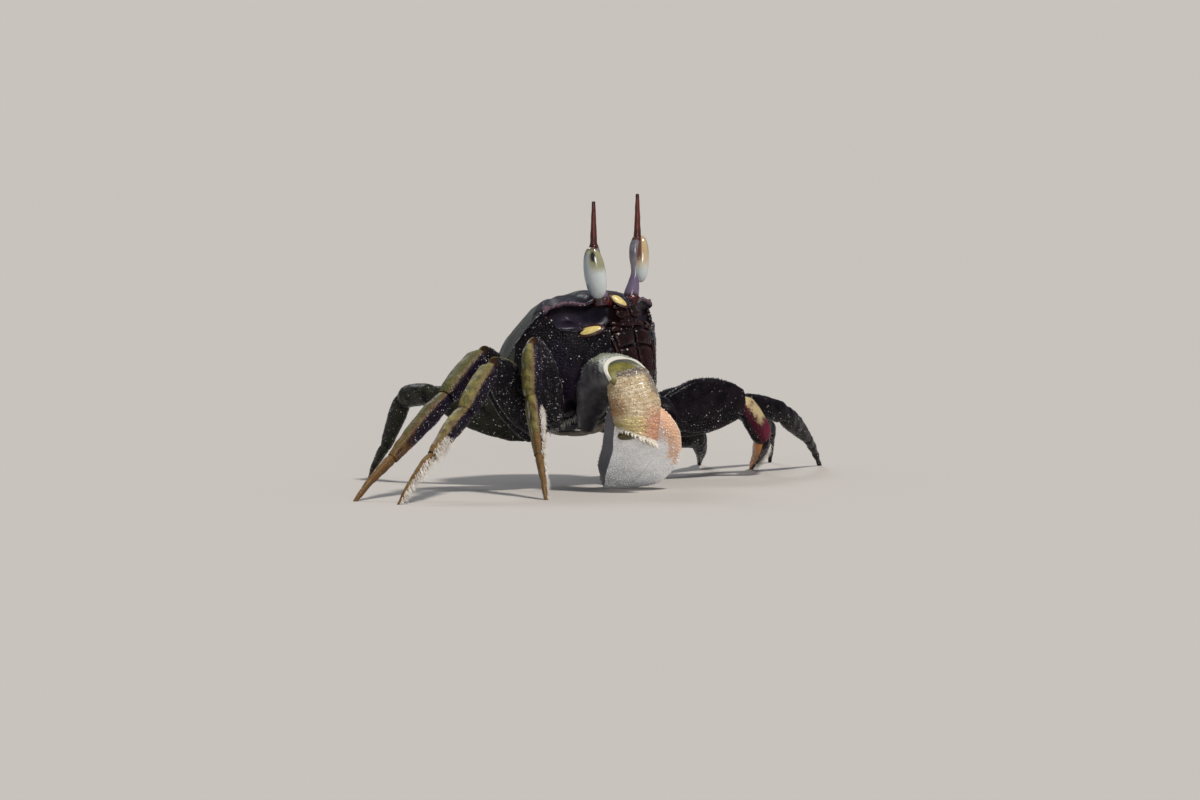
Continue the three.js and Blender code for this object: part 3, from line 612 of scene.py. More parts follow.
trunk = {
    "corner": 3, "rear": 8, "crownY": 0.03, "crownZ": 0.41, "crownFall": 3.6, "keelDepth": 0.305,
    "orbitFrom": 0.78, "orbitTo": 3.2, "orbitDepth": 0.1, "orbitInward": 0.3,
    "frontColumns": 110, "flankColumns": 80, "backRows": 50, "orbitRows": 84, "wallRows": 46, "bellyRows": 24,
    "backRun": 20.0, "wallRun": 9.4, "marginRidge": 0.3, "rimHeight": 0.26, "rimWidth": 0.22, "lowerRim": 0.4, "rimArch": 0.016, "rimDip": 0.014,
    "granuleSpacing": 0.56, "granuleRadius": 0.21,
}


def onGirdle(name, at):
    points = girdles[name]
    corner = trunk["corner"]
    front = lineThrough(points[: corner + 1], np.minimum(at, corner))
    flank = lineThrough(points[corner:], np.maximum(at - corner, 0))
    return np.where((at <= corner)[..., None], front, flank)


def lowerRimAt(at):
    # how far down the wall the orbit's lower rim lies, less towards the outer corner
    return 1 - 0.2 * ramp(1.8, 2.6, at) - 0.14 * ramp(2.6, 3.05, at) - 0.6 * ramp(3.02, trunk["orbitTo"], at)


def backEdgeAt(at):
    # the olive back spreads down over the flank towards the rear
    return 0.5 * ramp(4.5, 5.4, at) + 0.35 * ramp(5.4, 7.0, at) - 0.24 * (1 - ramp(3.1, 3.9, at))


def trunkGrid(places, steps):
    # places run round the trunk, steps from the crown (-1) over margin (0), waist (1), keel (2) to the belly (3)
    at, step = np.meshgrid(places, steps)
    edge, waist, keel = (onGirdle(name, at) for name in ("margin", "waist", "keel"))
    edge[..., 2] += trunk["rimArch"] * hump(2.45, 0.32, at) - trunk["rimDip"] * hump(1.78, 0.26, at)
    spread = np.clip(1 + step, 0, 1)
    back = np.stack([
        edge[..., 0] * spread,
        trunk["crownY"] + (edge[..., 1] - trunk["crownY"]) * spread,
        edge[..., 2] + (trunk["crownZ"] - edge[..., 2]) * (1 - spread ** trunk["crownFall"]),
    ], -1)
    level = np.clip(step, 0, 2)[..., None]
    wall = edge * (level - 1) * (level - 2) / 2 + waist * level * (2 - level) + keel * level * (level - 1) / 2
    start, end = trunk["orbitFrom"], trunk["orbitTo"]
    along = np.clip((at - start) / (end - start), 0, 1)
    share = np.clip(step / lowerRimAt(at), 0, 1)
    hollow = np.sin(math.pi * along) ** 0.45 * np.sin(math.pi * share) ** 0.6
    wall[..., 1] += trunk["orbitDepth"] * hollow
    wall[..., 0] -= trunk["orbitInward"] * trunk["orbitDepth"] * hollow
    inner = np.clip(3 - step, 0, 1)
    belly = np.stack([
        keel[..., 0] * inner, keel[..., 1] * inner, keel[..., 2] + (-trunk["keelDepth"] - keel[..., 2]) * (1 - inner**2),
    ], -1)
    spot = np.where((step < 0)[..., None], back, np.where((step <= 2)[..., None], wall, belly))
    return at, step, spot, hollow


def trunkRelief(at, step, spot, hollow, grid):
    # height of the skin over the plain form, in millimetres, and the masks that colour it
    t = trunk
    x, y = np.abs(spot[..., 0]), spot[..., 1]
    lower = lowerRimAt(at)
    fromMargin = np.where(step < 0, -step * t["backRun"], step * t["wallRun"])
    fromLower = np.abs(step - lower) * t["wallRun"]
    orbitSpan = ramp(0.85, 1.15, at) * (1 - ramp(3.1, 3.25, at))
    upperRim = hump(0, t["rimWidth"], fromMargin) * orbitSpan
    lowerRim = hump(0, t["rimWidth"], fromLower) * ramp(1.0, 1.3, at) * (1 - ramp(3.0, 3.2, at))
    flankSpan = ramp(3.05, 3.2, at) * (1 - ramp(6.6, 7.4, at))
    margin = hump(0, 0.45, fromMargin) * flankSpan
    tooth = hump(3.06, 0.12, at) * hump(0, 1.0, fromMargin)
    bulge = hump(2.35, 0.28, at) * hump(0.4, 0.22, step / lower) * 1.5 + hump(1.45, 0.3, at) * hump(0.45, 0.25, step / lower) * 0.9
    crease = hump(2.02, 0.05, at) * ramp(0.35, 0.6, step) * (1 - ramp(0.8, 0.92, step)) * 0.7
    onBack = ramp(-0.02, -0.12, step)
    furrow = hump(0.15 + 0.05 * np.cos(y * 12), 0.018, x) * ramp(-0.3, -0.1, y) * (1 - ramp(0.18, 0.32, y))
    furrow = furrow + hump(0.07 - 0.25 * (x - 0.1), 0.018, y) * (1 - ramp(0.22, 0.3, x))
    furrow = furrow + 0.7 * hump(-0.17 - 0.5 * (x - 0.15), 0.02, y) * ramp(0.14, 0.2, x) * (1 - ramp(0.3, 0.4, x))
    furrow = np.clip(furrow, 0, 1) * onBack
    plates = hump(0.5, 0.09, ((y + 0.3) * 9) % 1) * ramp(2.02, 2.2, step) * ramp(0.06, 0.1, x)
    jugal = hump(1.3 + 0.14 * (at - 1.5), 0.03, step) * ramp(1.5, 2.0, at) * (1 - ramp(3.4, 4.0, at))
    frame = hump(1.6, 0.05, at) * ramp(0.98, 1.1, step) * (1 - ramp(1.85, 2.0, step))
    brow = hump(0, 0.065, x) * ramp(-0.2, 0.0, step) * (1 - ramp(0.2, 0.3, step))
    soft = lumps(grid, 9.0, 4) * 0.14 + lumps(grid, 3.0, 5) * 0.05 * (1 - hollow)
    height = (margin * t["marginRidge"] + upperRim * t["rimHeight"] + lowerRim * t["lowerRim"] + tooth * 0.8 + bulge + crease
              - furrow * 0.4 - plates * 0.5 - jugal * 0.4 + frame * 0.6 + brow * 1.1 + soft)
    below = step - backEdgeAt(at)
    socket = hollow * (share01(step / lower))
    masks = {
        "dorsal": ramp(0.02, -0.05, below), "furrow": furrow * lumpMask(grid), "rim": upperRim, "socket": socket,
        "brow": hump(-0.1, 0.2, step) * (1 - ramp(3.0, 3.6, at)),
        "cheek": ramp(0.5, 0.9, step) * (1 - ramp(1.7, 2.0, step)) * ramp(3.0, 3.4, at) * (1 - ramp(5.5, 6.5, at)),
        "belly": ramp(2.25, 2.6, step),
        "straw": np.exp(-(((at - 5.3) / 0.22) ** 2) - ((step - 0.45) / 0.14) ** 2),
        "redness": np.maximum(
            ramp(0.2, 0.4, step) * (1 - ramp(1.0, 1.3, step)) * (1 - ramp(0.9, 1.25, at)),
            hump(3.12, 0.16, at) * hump(0.18, 0.16, step) * 0.9,
        ),
        "granular": (1 - ramp(0.02, 0.15, hollow)) * (1 - 0.95 * ramp(0.0, -0.03, step) * (1 - ramp(3.1, 3.7, at))) * ramp(-0.01, 0.06, below) * (1 - ramp(2.3, 2.6, step))
        * (1 - 0.7 * ramp(1.05, 1.35, step) * ramp(2.7, 3.1, at) * (1 - ramp(4.6, 5.4, at))),
        "fringe": hump(2.02, 0.07, step) * ramp(2.0, 2.5, at) * (1 - ramp(6.5, 7.3, at)),
    }
    return height, masks


def share01(value):
    return ((value >= 0) & (value <= 1)).astype(float)


def lumpMask(grid):
    return np.clip(0.75 + 0.5 * lumps(grid, 6.0, 8), 0, 1)


def buildTrunk():
    t = trunk
    places = np.concatenate([
        np.linspace(0, t["corner"] + 0.25, t["frontColumns"], endpoint=False),
        np.linspace(t["corner"] + 0.25, t["rear"], t["flankColumns"] + 1),
    ])
    steps = np.concatenate([
        -(np.linspace(0.985, 0.01, t["backRows"]) ** 1.35),
        np.linspace(0, 1.06, t["orbitRows"], endpoint=False), np.linspace(1.06, 2, t["wallRows"], endpoint=False),
        np.linspace(2, 2.97, t["bellyRows"]),
    ])
    at, step, spot, hollow = trunkGrid(places, steps)

    def mirrored(values):
        return np.concatenate([values, values[:, -2:0:-1]], 1)

    left = trunkPoint(spot[..., 0], spot[..., 1], spot[..., 2])
    right = trunkPoint(-spot[..., 0], spot[..., 1], spot[..., 2])
    grid = np.concatenate([left, right[:, -2:0:-1]], 1)
    at, step, hollow, spot = mirrored(at), mirrored(step), mirrored(hollow), mirrored(spot)
    height, masks = trunkRelief(at, step, spot, hollow, grid)
    normal = outwardOf(grid)
    grid = grid + normal * height[..., None]
    normal = outwardOf(grid)
    piece = skinFromRings("carapaceAndTrunk", grid, masks)
    place(piece, finishes["carapace"], "carapace", "trunk")
    spacing, radius = t["granuleSpacing"] * 0.001, t["granuleRadius"] * 0.001
    grown("trunkGranules", piece, granuleTree("granular", finishes["granules"]), "carapace",
          Spacing=spacing, Density=3e6, Radius=radius, Flatness=0.8, Seed=11)
    grown("bodyFringe", piece, bristleTree("fringe", finishes["bristles"]), "belly",
          Spacing=0.0004, Density=3e6, Length=0.0013, Thickness=0.00006, Lean=1.0, Droop=0.3, Seed=12)

    def onSkin(place, level, side):
        column = int(np.argmin(np.abs(places - place)))
        row = int(np.argmin(np.abs(steps - level)))
        column = column if side > 0 else (-column) % grid.shape[1]
        return grid[row, column], normal[row, column]

    points, ways, sizes = [], [], []
    for side in (-1, 1):
        for place_ in np.linspace(3.2, 6.9, 92):
            spotHere, way = onSkin(place_, 0.0, side)
            points.append(spotHere - way * 0.08), ways.append(way), sizes.append(0.26)
        for place_ in np.linspace(2.15, 3.12, 17):
            spotHere, way = onSkin(place_, float(lowerRimAt(np.array(place_))), side)
            points.append(spotHere - way * 0.06), ways.append(way), sizes.append(0.24 if place_ < 3.1 else 0.32)
    beadRow("marginBeads", points, ways, sizes, finishes["granules"], "carapace")
    return onSkin


onTrunk = buildTrunk()

# swollen cream pads, one at each orbit's lower rim and one on the front lobe: centre, then two half axes
creamPads = {
    "orbit": [(-12.8, -12.1, 41.2), (2.06, -2.42, 0.86), (0.64, 0.87, 1.1)],
    "front": [(-3.4, -13.5, 48.8), (1.42, -1.84, -1.35), (0.75, 0.5, 0.95)],
}


def creamPad(name, centre, long, tall, thick):
    # the pad over a slightly wider dark-red seat
    middle = vec(*centre)
    outward = unit(np.cross(long, tall))
    for label, size, deep, finish, edge in (("pad", 1.0, thick, "creamPad", 0.0), ("seat", 1.2, thick * 0.85, "creamPad", 1.0)):
        axes = (np.asarray(long) * size, np.asarray(tall) * size, outward * deep)
        lump(f"{name}_{label}", middle, axes, finishes[finish], "carapace", 31, 0.03, {"edge": np.full((26, 28), edge)})


def buildPads():
    (x, y, z), long, tall = creamPads["orbit"]
    creamPad("orbit_right", (x, y, z), long, tall, 0.95)
    mirror = vec(-1, 1, 1)
    creamPad("orbit_left", mirror * vec(x + 1.6, y + 1.4, z), mirror * vec(*long), mirror * vec(*tall), 0.95)
    creamPad("front_lobe", *creamPads["front"], 0.7)


buildPads()
print("trunk built")



# one limb piece: shaped sections along its line, a rounded inner end and a cuff with soft skin at the outer end
def limbGrid(start, end, up, stations, bow=0.0, line=None, rows=56, columns=40, cuff=True, square=0.92, dome=0.02, slant=0.0,
             outline=None, shrink=0.965, sink=0.05):
    along = end - start
    length = np.linalg.norm(along)
    along = along / length
    side = unit(np.cross(along, up))
    tall = unit(np.cross(side, along))
    even = np.linspace(0, 1, rows)
    t = 0.5 * (even + (1 - np.cos(math.pi * even)) / 2)
    arc = np.linspace(0.12, 1, 7, endpoint=False)
    knobs = [(-dome * math.sqrt(1 - v * v), v) for v in arc] + [(v, 1.0) for v in t]
    if cuff:
        knobs += [(1.004, 0.985), (1.004, 0.93), (1 - 0.2 * sink, 0.87), (1 - 0.6 * sink, 0.8), (1 - 0.9 * sink, 0.6), (1 - sink, 0.25)]
    else:
        knobs += [(1.004, 0.8), (1.008, 0.45)]
    knobs = np.array(knobs)
    t, size = knobs[:, 0], knobs[:, 1]
    table = np.array([s[:3] for s in stations], float)
    smooth = lineThrough(table[:, 1:], np.interp(np.clip(t, 0, 1), table[:, 0], np.arange(len(table))))
    heights, widths = (smooth * size[:, None] * w * shrink).T
    angle = 2 * math.pi * (np.arange(columns) + 0.5) / columns
    if outline is None:
        cosine = np.sign(np.cos(angle)) * np.abs(np.cos(angle)) ** square
        sine = np.sign(np.sin(angle)) * np.abs(np.sin(angle)) ** square
    else:
        looped = np.vstack([outline, outline[:1]])
        cosine, sine = lineThrough(looped, np.arange(columns) / columns * len(outline)).T
    inside = np.clip(t, 0, 1)
    if line is None:
        middle = start + along * (t * length)[:, None]
    else:
        middle = lineThrough(line, inside * (len(line) - 1)) + along * ((t - inside) * length)[:, None]
    middle = middle + tall * (bow * w * np.sin(math.pi * inside))[:, None]
    grid = middle[:, None] + tall * (0.5 * heights[:, None] * cosine)[..., None] + side * (0.5 * widths[:, None] * sine)[..., None]
    grid = grid + along * (slant * length * (inside**3)[:, None] * size[:, None] * cosine)[..., None]
    shape = np.ones((len(t), columns))
    tucked = shape * (np.arange(len(t)) >= len(t) - (4 if cuff else 0))[:, None]
    masks = {
        "along": shape * inside[:, None], "upper": shape * cosine, "lower": shape * -cosine,
        "posterior": shape * sine, "anterior": shape * -sine, "joint": tucked, "dome": shape * (t < 0.02)[:, None],
    }
    return grid, masks, (tall, side, along)


def limbSkin(name, grid, masks, seed, size=4.0, height=0.08):
    # the same soft unevenness over every limb piece
    return skinFromRings(name, grid + outwardOf(grid) * (lumps(grid, size, seed) * height)[..., None], masks)


def fromDegrees(side, heading, rise):
    heading, rise = math.radians(heading), math.radians(rise)
    return vec(side * math.cos(heading) * math.cos(rise), -math.sin(heading) * math.cos(rise), math.sin(rise))


legs = {
    "pairs": [
        ([0.45, 0.02, -0.3], [0.575, 0.29, 0.37, 0.31], 0.315), ([0.46, 0.13, -0.28], [0.69, 0.345, 0.42, 0.38], 0.3),
        ([0.44, 0.23, -0.25], [0.7, 0.345, 0.5, 0.375], 0.275), ([0.38, 0.31, -0.2], [0.61, 0.27, 0.36, 0.31], 0.215),
    ],
    "coxaInset": [0.2, 0.02, -0.08], "toeSink": 0.25,
    "stance": {
        "right": [([16, 43, 52, 52], [50, -72, -59]), ([10, 5, 9, -3], [33, -43, -32]),
                  ([6, -7, -13, -6], [43, -41, -41]), ([-71, -103, -108, -116], [21, -6, -55])],
        "left": [([17, 3, -45, -46], [5, -50, -21]), ([14, 5, -17, -25], [7, -13, -23]),
                 ([-1, -6, -14, -41], [9, -8, -18]), ([-3, -7, -37, -41], [-8, -3, -18])],
    },
    "carpus": [[0, 0.08, 0.07], [0.12, 0.12, 0.11], [0.5, 0.132, 0.12], [0.88, 0.13, 0.115], [1, 0.105, 0.095]],
    "propodus": [[0, 0.085, 0.07], [0.12, 0.115, 0.092], [0.4, 0.118, 0.09], [0.85, 0.088, 0.068], [1, 0.066, 0.054]],
    "dactyl": [[0, 0.05, 0.04], [0.1, 0.064, 0.05], [0.45, 0.05, 0.042], [0.8, 0.034, 0.03], [1, 0.02, 0.02]],
    "coxa": [[0, 0.085, 0.1], [0.5, 0.1, 0.11], [0.8, 0.085, 0.1], [1, 0.06, 0.075]],
    "coxaOverlap": 0.14,
}


def merusStations(blade):
    return [[0, 0.4 * blade, 0.075], [0.14, 0.72 * blade, 0.09], [0.42, blade, 0.1], [0.72, 0.94 * blade, 0.1],
            [0.92, 0.68 * blade, 0.092], [1, 0.5 * blade, 0.078]]


# a walking leg in section: a keel along the back edge and flat granular sides, as tall and wide shares
legOutline = np.array([
    (1.0, 0.0), (0.97, 0.3), (0.88, 0.62), (0.62, 0.84), (0.2, 0.96), (-0.3, 0.96), (-0.72, 0.76), (-0.94, 0.4),
    (-1.0, 0.0), (-0.94, -0.4), (-0.72, -0.76), (-0.3, -0.96), (0.25, -1.0), (0.66, -0.84), (0.9, -0.5), (0.98, -0.22),
])
legLook = {
    "columns": 48, "rows": {"merus": 60, "carpus": 50, "propodus": 60, "dactyl": 56}, "granuleSpacing": 0.5, "granuleRadius": 0.17,
    "darkFrom": [0.1, 0.85, 0.95, 0.5], "brushLength": 1.3, "brushThickness": 0.09, "brushFrom": [0.15, 0.55], "toothSpacing": 0.8,
    "toothSize": 0.2, "olive": [0.25, 0.3, 0.85, 0.8],
}


def legMasks(masks, grid, part, straw, label, number):
    along, upper, front, back = masks["along"], masks["upper"], masks["anterior"], masks["posterior"]
    ripple = lumps(grid, 3.0, 30 + number)
    masks["keel"] = hump(0.86, 0.12, back) * ramp(0.0, 0.3, upper) * (0.6 + 0.4 * ripple) if straw else 0 * along
    blotchy = 0.5 + 0.5 * lumps(grid, 2.4, 33 + number)
    masks["olive"] = np.clip(legLook["olive"][number] + 0.3 * ripple + 0.4 * ramp(0.4, 0.9, back), 0, 1) * (1.0 if label == "right" else 0.0)
    masks["shade"] = ramp(-0.1, 0.3, front - 0.2 * upper) if part == "merus" else 0 * along
    masks["blotch"] = blotchy * (0.6 if part == "carpus" else 0.8) * ramp(-0.2, 0.4, upper)
    masks["amber"] = ramp(0.35, 0.95, along) * (1.0 if part in ("propodus", "dactyl") else 0.0) * (0.75 + 0.25 * ripple)
    if not straw:
        masks["amber"] = masks["amber"] * (1.0 if label == "right" and part == "dactyl" else 0.0)
    if part == "dactyl" and straw:
        masks["amber"] = 0 * along + 0.8
    masks["granular"] = 0.15 + 0.85 * np.maximum(ramp(0.0, 0.35, front), ramp(0.1, 0.5, -upper))
    masks["granular"] = masks["granular"] * (1 - masks["joint"]) * (1 - masks["dome"]) * (0.35 if part == "dactyl" else 1.0)
    masks["granular"] = masks["granular"] * ramp(0.25, 0.6, grid[..., 2])
    darkFrom = legLook["darkFrom"][number] - (0.4 if part == "merus" else 0.0)
    masks["dark"] = np.maximum(ramp(darkFrom - 0.35, darkFrom + 0.4, front - 0.35 * upper + 0.25), ramp(0.45, 0.8, -upper))
    masks["seam"] = hump(darkFrom - 0.05, 0.25, front - 0.35 * upper + 0.25)
    brushed = part in ("propodus", "dactyl") and number < (2 if label == "right" else 1)
    brushFrom = legLook["brushFrom"][number] if brushed and part == "propodus" else 0.0
    inside = ramp(0.25 + 0.25 * number, 0.6 + 0.2 * number, front) if label == "right" else ramp(0.75, 0.95, back) * ramp(0.0, 0.3, -upper)
    masks["brush"] = inside * ramp(brushFrom, brushFrom + 0.2, along) * (1.0 if brushed else 0.0)
    # the far front leg's wrist is cream running to crimson, and its next piece glows orange in front
    blushed = label == "left" and number == 0
    spread = ramp(-0.55, 0.5, 0.8 * upper + 0.45 * back) * (1.0 if blushed and part == "carpus" else 0.0)
    masks["blush"] = ramp(0.1, 1.0, spread) * (0.85 + 0.15 * ripple) * (1 - ramp(0.3, 1.0, along))
    masks["blushEdge"] = ramp(-0.85, -0.3, 0.8 * upper + 0.45 * back) * (1.0 if blushed and part == "carpus" else 0.0)
    masks["blushEnd"] = spread * ramp(0.45, 0.85, along)
    masks["ember"] = ramp(-0.3, 0.2, front + 0.3 * upper) * (1.0 if blushed and part in ("propodus", "dactyl") else 0.0)
    masks["granular"] = masks["granular"] * (1 - 0.9 * np.maximum(spread, masks["ember"]))
    return masks


def buildLeg(label, side, number):
    hip, lengths, blade = legs["pairs"][number]
    headings, rises = legs["stance"][label][number]
    joints = [trunkPoint(*[np.float64(v) for v in (side * hip[0], hip[1], hip[2])])]
    for k in range(3):
        joints.append(joints[k] + fromDegrees(side, headings[k], rises[k]) * lengths[k] * w)
    drop = -math.degrees(math.asin((joints[3][2] + legs["toeSink"]) / (lengths[3] * w)))
    joints.append(joints[3] + fromDegrees(side, headings[3], drop) * lengths[3] * w)
    straw = label == "right" and number < 3
    finish, slot = ("strawLeg", "straw_leg") if straw else ("darkLeg", "dark_leg")
    parts = [("merus", merusStations(blade), 0.01), ("carpus", legs["carpus"], 0.006),
             ("propodus", legs["propodus"], 0.004), ("dactyl", legs["dactyl"], 0.012)]
    for k, (part, stations, bow) in enumerate(parts):
        grid, masks, (tall, across, along) = limbGrid(
            joints[k], joints[k + 1], vec(0, 0, 1), stations, bow, rows=legLook["rows"][part], columns=legLook["columns"],
            cuff=part != "dactyl", outline=legOutline, dome=0.05 if part != "merus" else 0.02)
        if part == "dactyl":
            grid[..., 2] = np.maximum(grid[..., 2], 0.02)
        masks = legMasks(masks, grid, part, straw, label, number)
        name = f"leg_{label}_{number + 1}_{part}"
        seed = number * 10 + k + (50 if side > 0 else 0)
        piece = limbSkin(f"{name}_shell", grid, masks, seed)
        place(piece, finishes[finish], slot, name)
        grown(f"{name}_granules", piece, granuleTree("granular", finishes["granules" if not straw else "legGranules"]), slot,
              Spacing=legLook["granuleSpacing"] * 0.001, Density=5e6, Radius=legLook["granuleRadius"] * 0.001, Seed=seed)
        if part in ("propodus", "dactyl") and number < (2 if label == "right" else 1):
            grown(f"{name}_brush", piece, bristleTree("brush", finishes["bristles"]), slot,
                  Spacing=0.00021, Density=3e7, Length=legLook["brushLength"] * 0.001,
                  Thickness=legLook["brushThickness"] * 0.001, Lean=1.3, Droop=0.2, Seed=seed)
        if part == "merus":
            edge = np.arange(0.12, 0.95, legLook["toothSpacing"] / np.linalg.norm(joints[1] - joints[0]))
            row = np.interp(edge, masks["along"][:, 0], np.arange(len(grid))).astype(int)
            points = [grid[r, -1] * 0.5 + grid[r, 0] * 0.5 for r in row]
            beadRow(f"{name}_ridge", points, [tall + along * 0.5] * len(points), [legLook["toothSize"]] * len(points),
                    finishes[finish], slot, "tooth", 0.8)
    insetX, insetY, insetZ = legs["coxaInset"]
    root = trunkPoint(*[np.float64(v) for v in (side * (hip[0] - insetX), hip[1] - insetY, hip[2] - insetZ)])
    knee = joints[0] + (joints[1] - joints[0]) * legs["coxaOverlap"]
    grid, masks, _ = limbGrid(root, knee, vec(0, 1, 0), legs["coxa"], rows=24, columns=32, cuff=False)
    piece = limbSkin(f"leg_{label}_{number + 1}_coxa", grid, masks, 5)
    place(piece, finishes["darkLeg"], "dark_leg")


for side, label in ((-1, "right"), (1, "left")):
    for number in range(4):
        buildLeg(label, side, number)
print("walking legs built")


# eyes
eyeLook = {"rootRadius": 2.0, "rootHeight": 1.9, "pupilTurn": 22, "pupilPlace": 0.82, "pupilWidth": 0.8, "pupilHeight": 2.0,
           "rootLobes": [(0.0, 0.3, 0.3, 1.9), (-0.6, 1.6, 0.9, 1.3), (0.4, -0.9, -0.6, 1.2)]}


def buildEye(label):
    side, outward, back, rise = eyeSides[label]
    fit = eyeFit[label]
    root = browRoot(side) + vec(fit["slide"], 0, 0)
    top = root + vec(side * outward, back, eye["stalkHeight"] + rise)
    lengthwise = unit(top - root)
    outer = unit(vec(side, -0.25, 0))
    forward = unit(np.cross(lengthwise, outer))
    if forward[1] > 0:
        forward = -forward
    widths = eye["stalkWidths"]
    stations = [[k / (len(widths) - 1), v, v] for k, v in enumerate(widths)]
    inward = unit(vec(-side * 0.637, 0.77, 0))
    line = [root + (top - root) * t - lengthwise * (1 - t) + inward * bend * fit["bend"]
            for t, bend in zip(np.linspace(0, 1, len(widths)), eye["stalkBend"])]
    grid, masks, _ = limbGrid(root - lengthwise * 1.0, top, outer, stations, cuff=False, square=1.0, shrink=1.0, rows=70, line=line)
    along = masks["along"]
    masks.update(base=1 - ramp(0.25, 0.6, along), root=1 - ramp(0.06, 0.24, along), tip=ramp(0.93, 0.98, along))
    piece = limbSkin(f"eye_stalk_{label}_skin", grid, masks, 21, 5.0, 0.06)
    place(piece, finishes["stalk"], "eye_stalk", f"eye_stalk_{label}")
    for part, (along_, sideways, ahead_, tall) in enumerate(eyeLook["rootLobes"]):
        spot = root + lengthwise * along_ - outer * sideways + forward * ahead_ + inward * eye["stalkBend"][0] * fit["bend"] * 0.7
        wide = eyeLook["rootRadius"] * (1 - 0.2 * part)
        axes = (lengthwise * tall, outer * wide, forward * wide * 0.9)
        lump(f"eye_root_{label}_{part + 1}", spot, axes, finishes["eyeRoot"], "eye_stalk", 22 + part, 0.14)
    centre = (root + lengthwise * (eye["stalkHeight"] + rise - eye["corneaPlace"] * eye["corneaHeight"] + fit["lensUp"])
              + outer * (eye["corneaOffset"] + fit["lensOut"]))
    rows = columns = 64
    polar = np.linspace(0.02, math.pi - 0.02, rows)
    angle = 2 * math.pi * np.arange(columns) / columns
    height, depth, width = (eye[k] / 2 * fit["lensSize"] for k in ("corneaHeight", "corneaDepth", "corneaWidth"))
    belly = np.sin(polar) ** 0.75 * (1 - 0.03 * np.cos(polar))
    rise_, turn = np.cos(polar)[:, None], angle[None]
    grid = (centre + lengthwise * (height * rise_)[..., None]
            + outer * (depth * belly[:, None] * np.cos(turn))[..., None] + forward * (width * belly[:, None] * np.sin(turn))[..., None])
    pupilAngle = math.radians(eyeLook["pupilTurn"])
    pupilRise = 2 * eyeLook["pupilPlace"] - 1
    spread = math.sqrt(1 - pupilRise**2)
    spot = (centre + lengthwise * height * pupilRise + outer * depth * spread * math.cos(pupilAngle)
            + forward * width * spread * math.sin(pupilAngle))
    away = grid - spot
    up = away @ lengthwise
    flat = np.linalg.norm(away - up[..., None] * lengthwise, axis=-1)
    ahead = np.broadcast_to(np.sin(turn), up.shape)
    masks = {
        "along": (0.5 + 0.5 * np.broadcast_to(rise_, up.shape)), "ahead": ahead,
        "pupil": np.exp(-((flat / eyeLook["pupilWidth"]) ** 2) - (up / eyeLook["pupilHeight"]) ** 2),
        "facing": np.broadcast_to(np.cos(turn), up.shape) + fit["inset"],
    }
    place(skinFromRings(f"eye_cornea_{label}_lens", grid, masks), corneaFinish, "cornea", f"eye_cornea_{label}")
    hornRoot = top - vec(0, 0, 0.9)
    widths = eye["hornWidths"]
    stations = [[k / (len(widths) - 1), v, v] for k, v in enumerate(widths)]
    hornTop = top + vec(0, 0, eye["hornLength"] + 0.25)
    grid, masks, _ = limbGrid(hornRoot, hornTop, outer, stations, cuff=False, square=1.0, columns=36, shrink=1.02)
    along = masks["along"]
    swell = 1 + 0.1 * hump(0.97, 0.05, along) + 0.22 * (1 - ramp(0.0, 0.12, along))
    middle = grid.mean(1, keepdims=True)
    grid = middle + (grid - middle) * swell[..., None]
    masks.update(tip=ramp(0.8, 1.0, along), root=1 - ramp(0.05, 0.2, along))
    piece = limbSkin(f"eye_horn_{label}_spike", grid, masks, 24, 3.0, 0.04)
    place(piece, finishes["horn"], "horn", f"eye_horn_{label}")


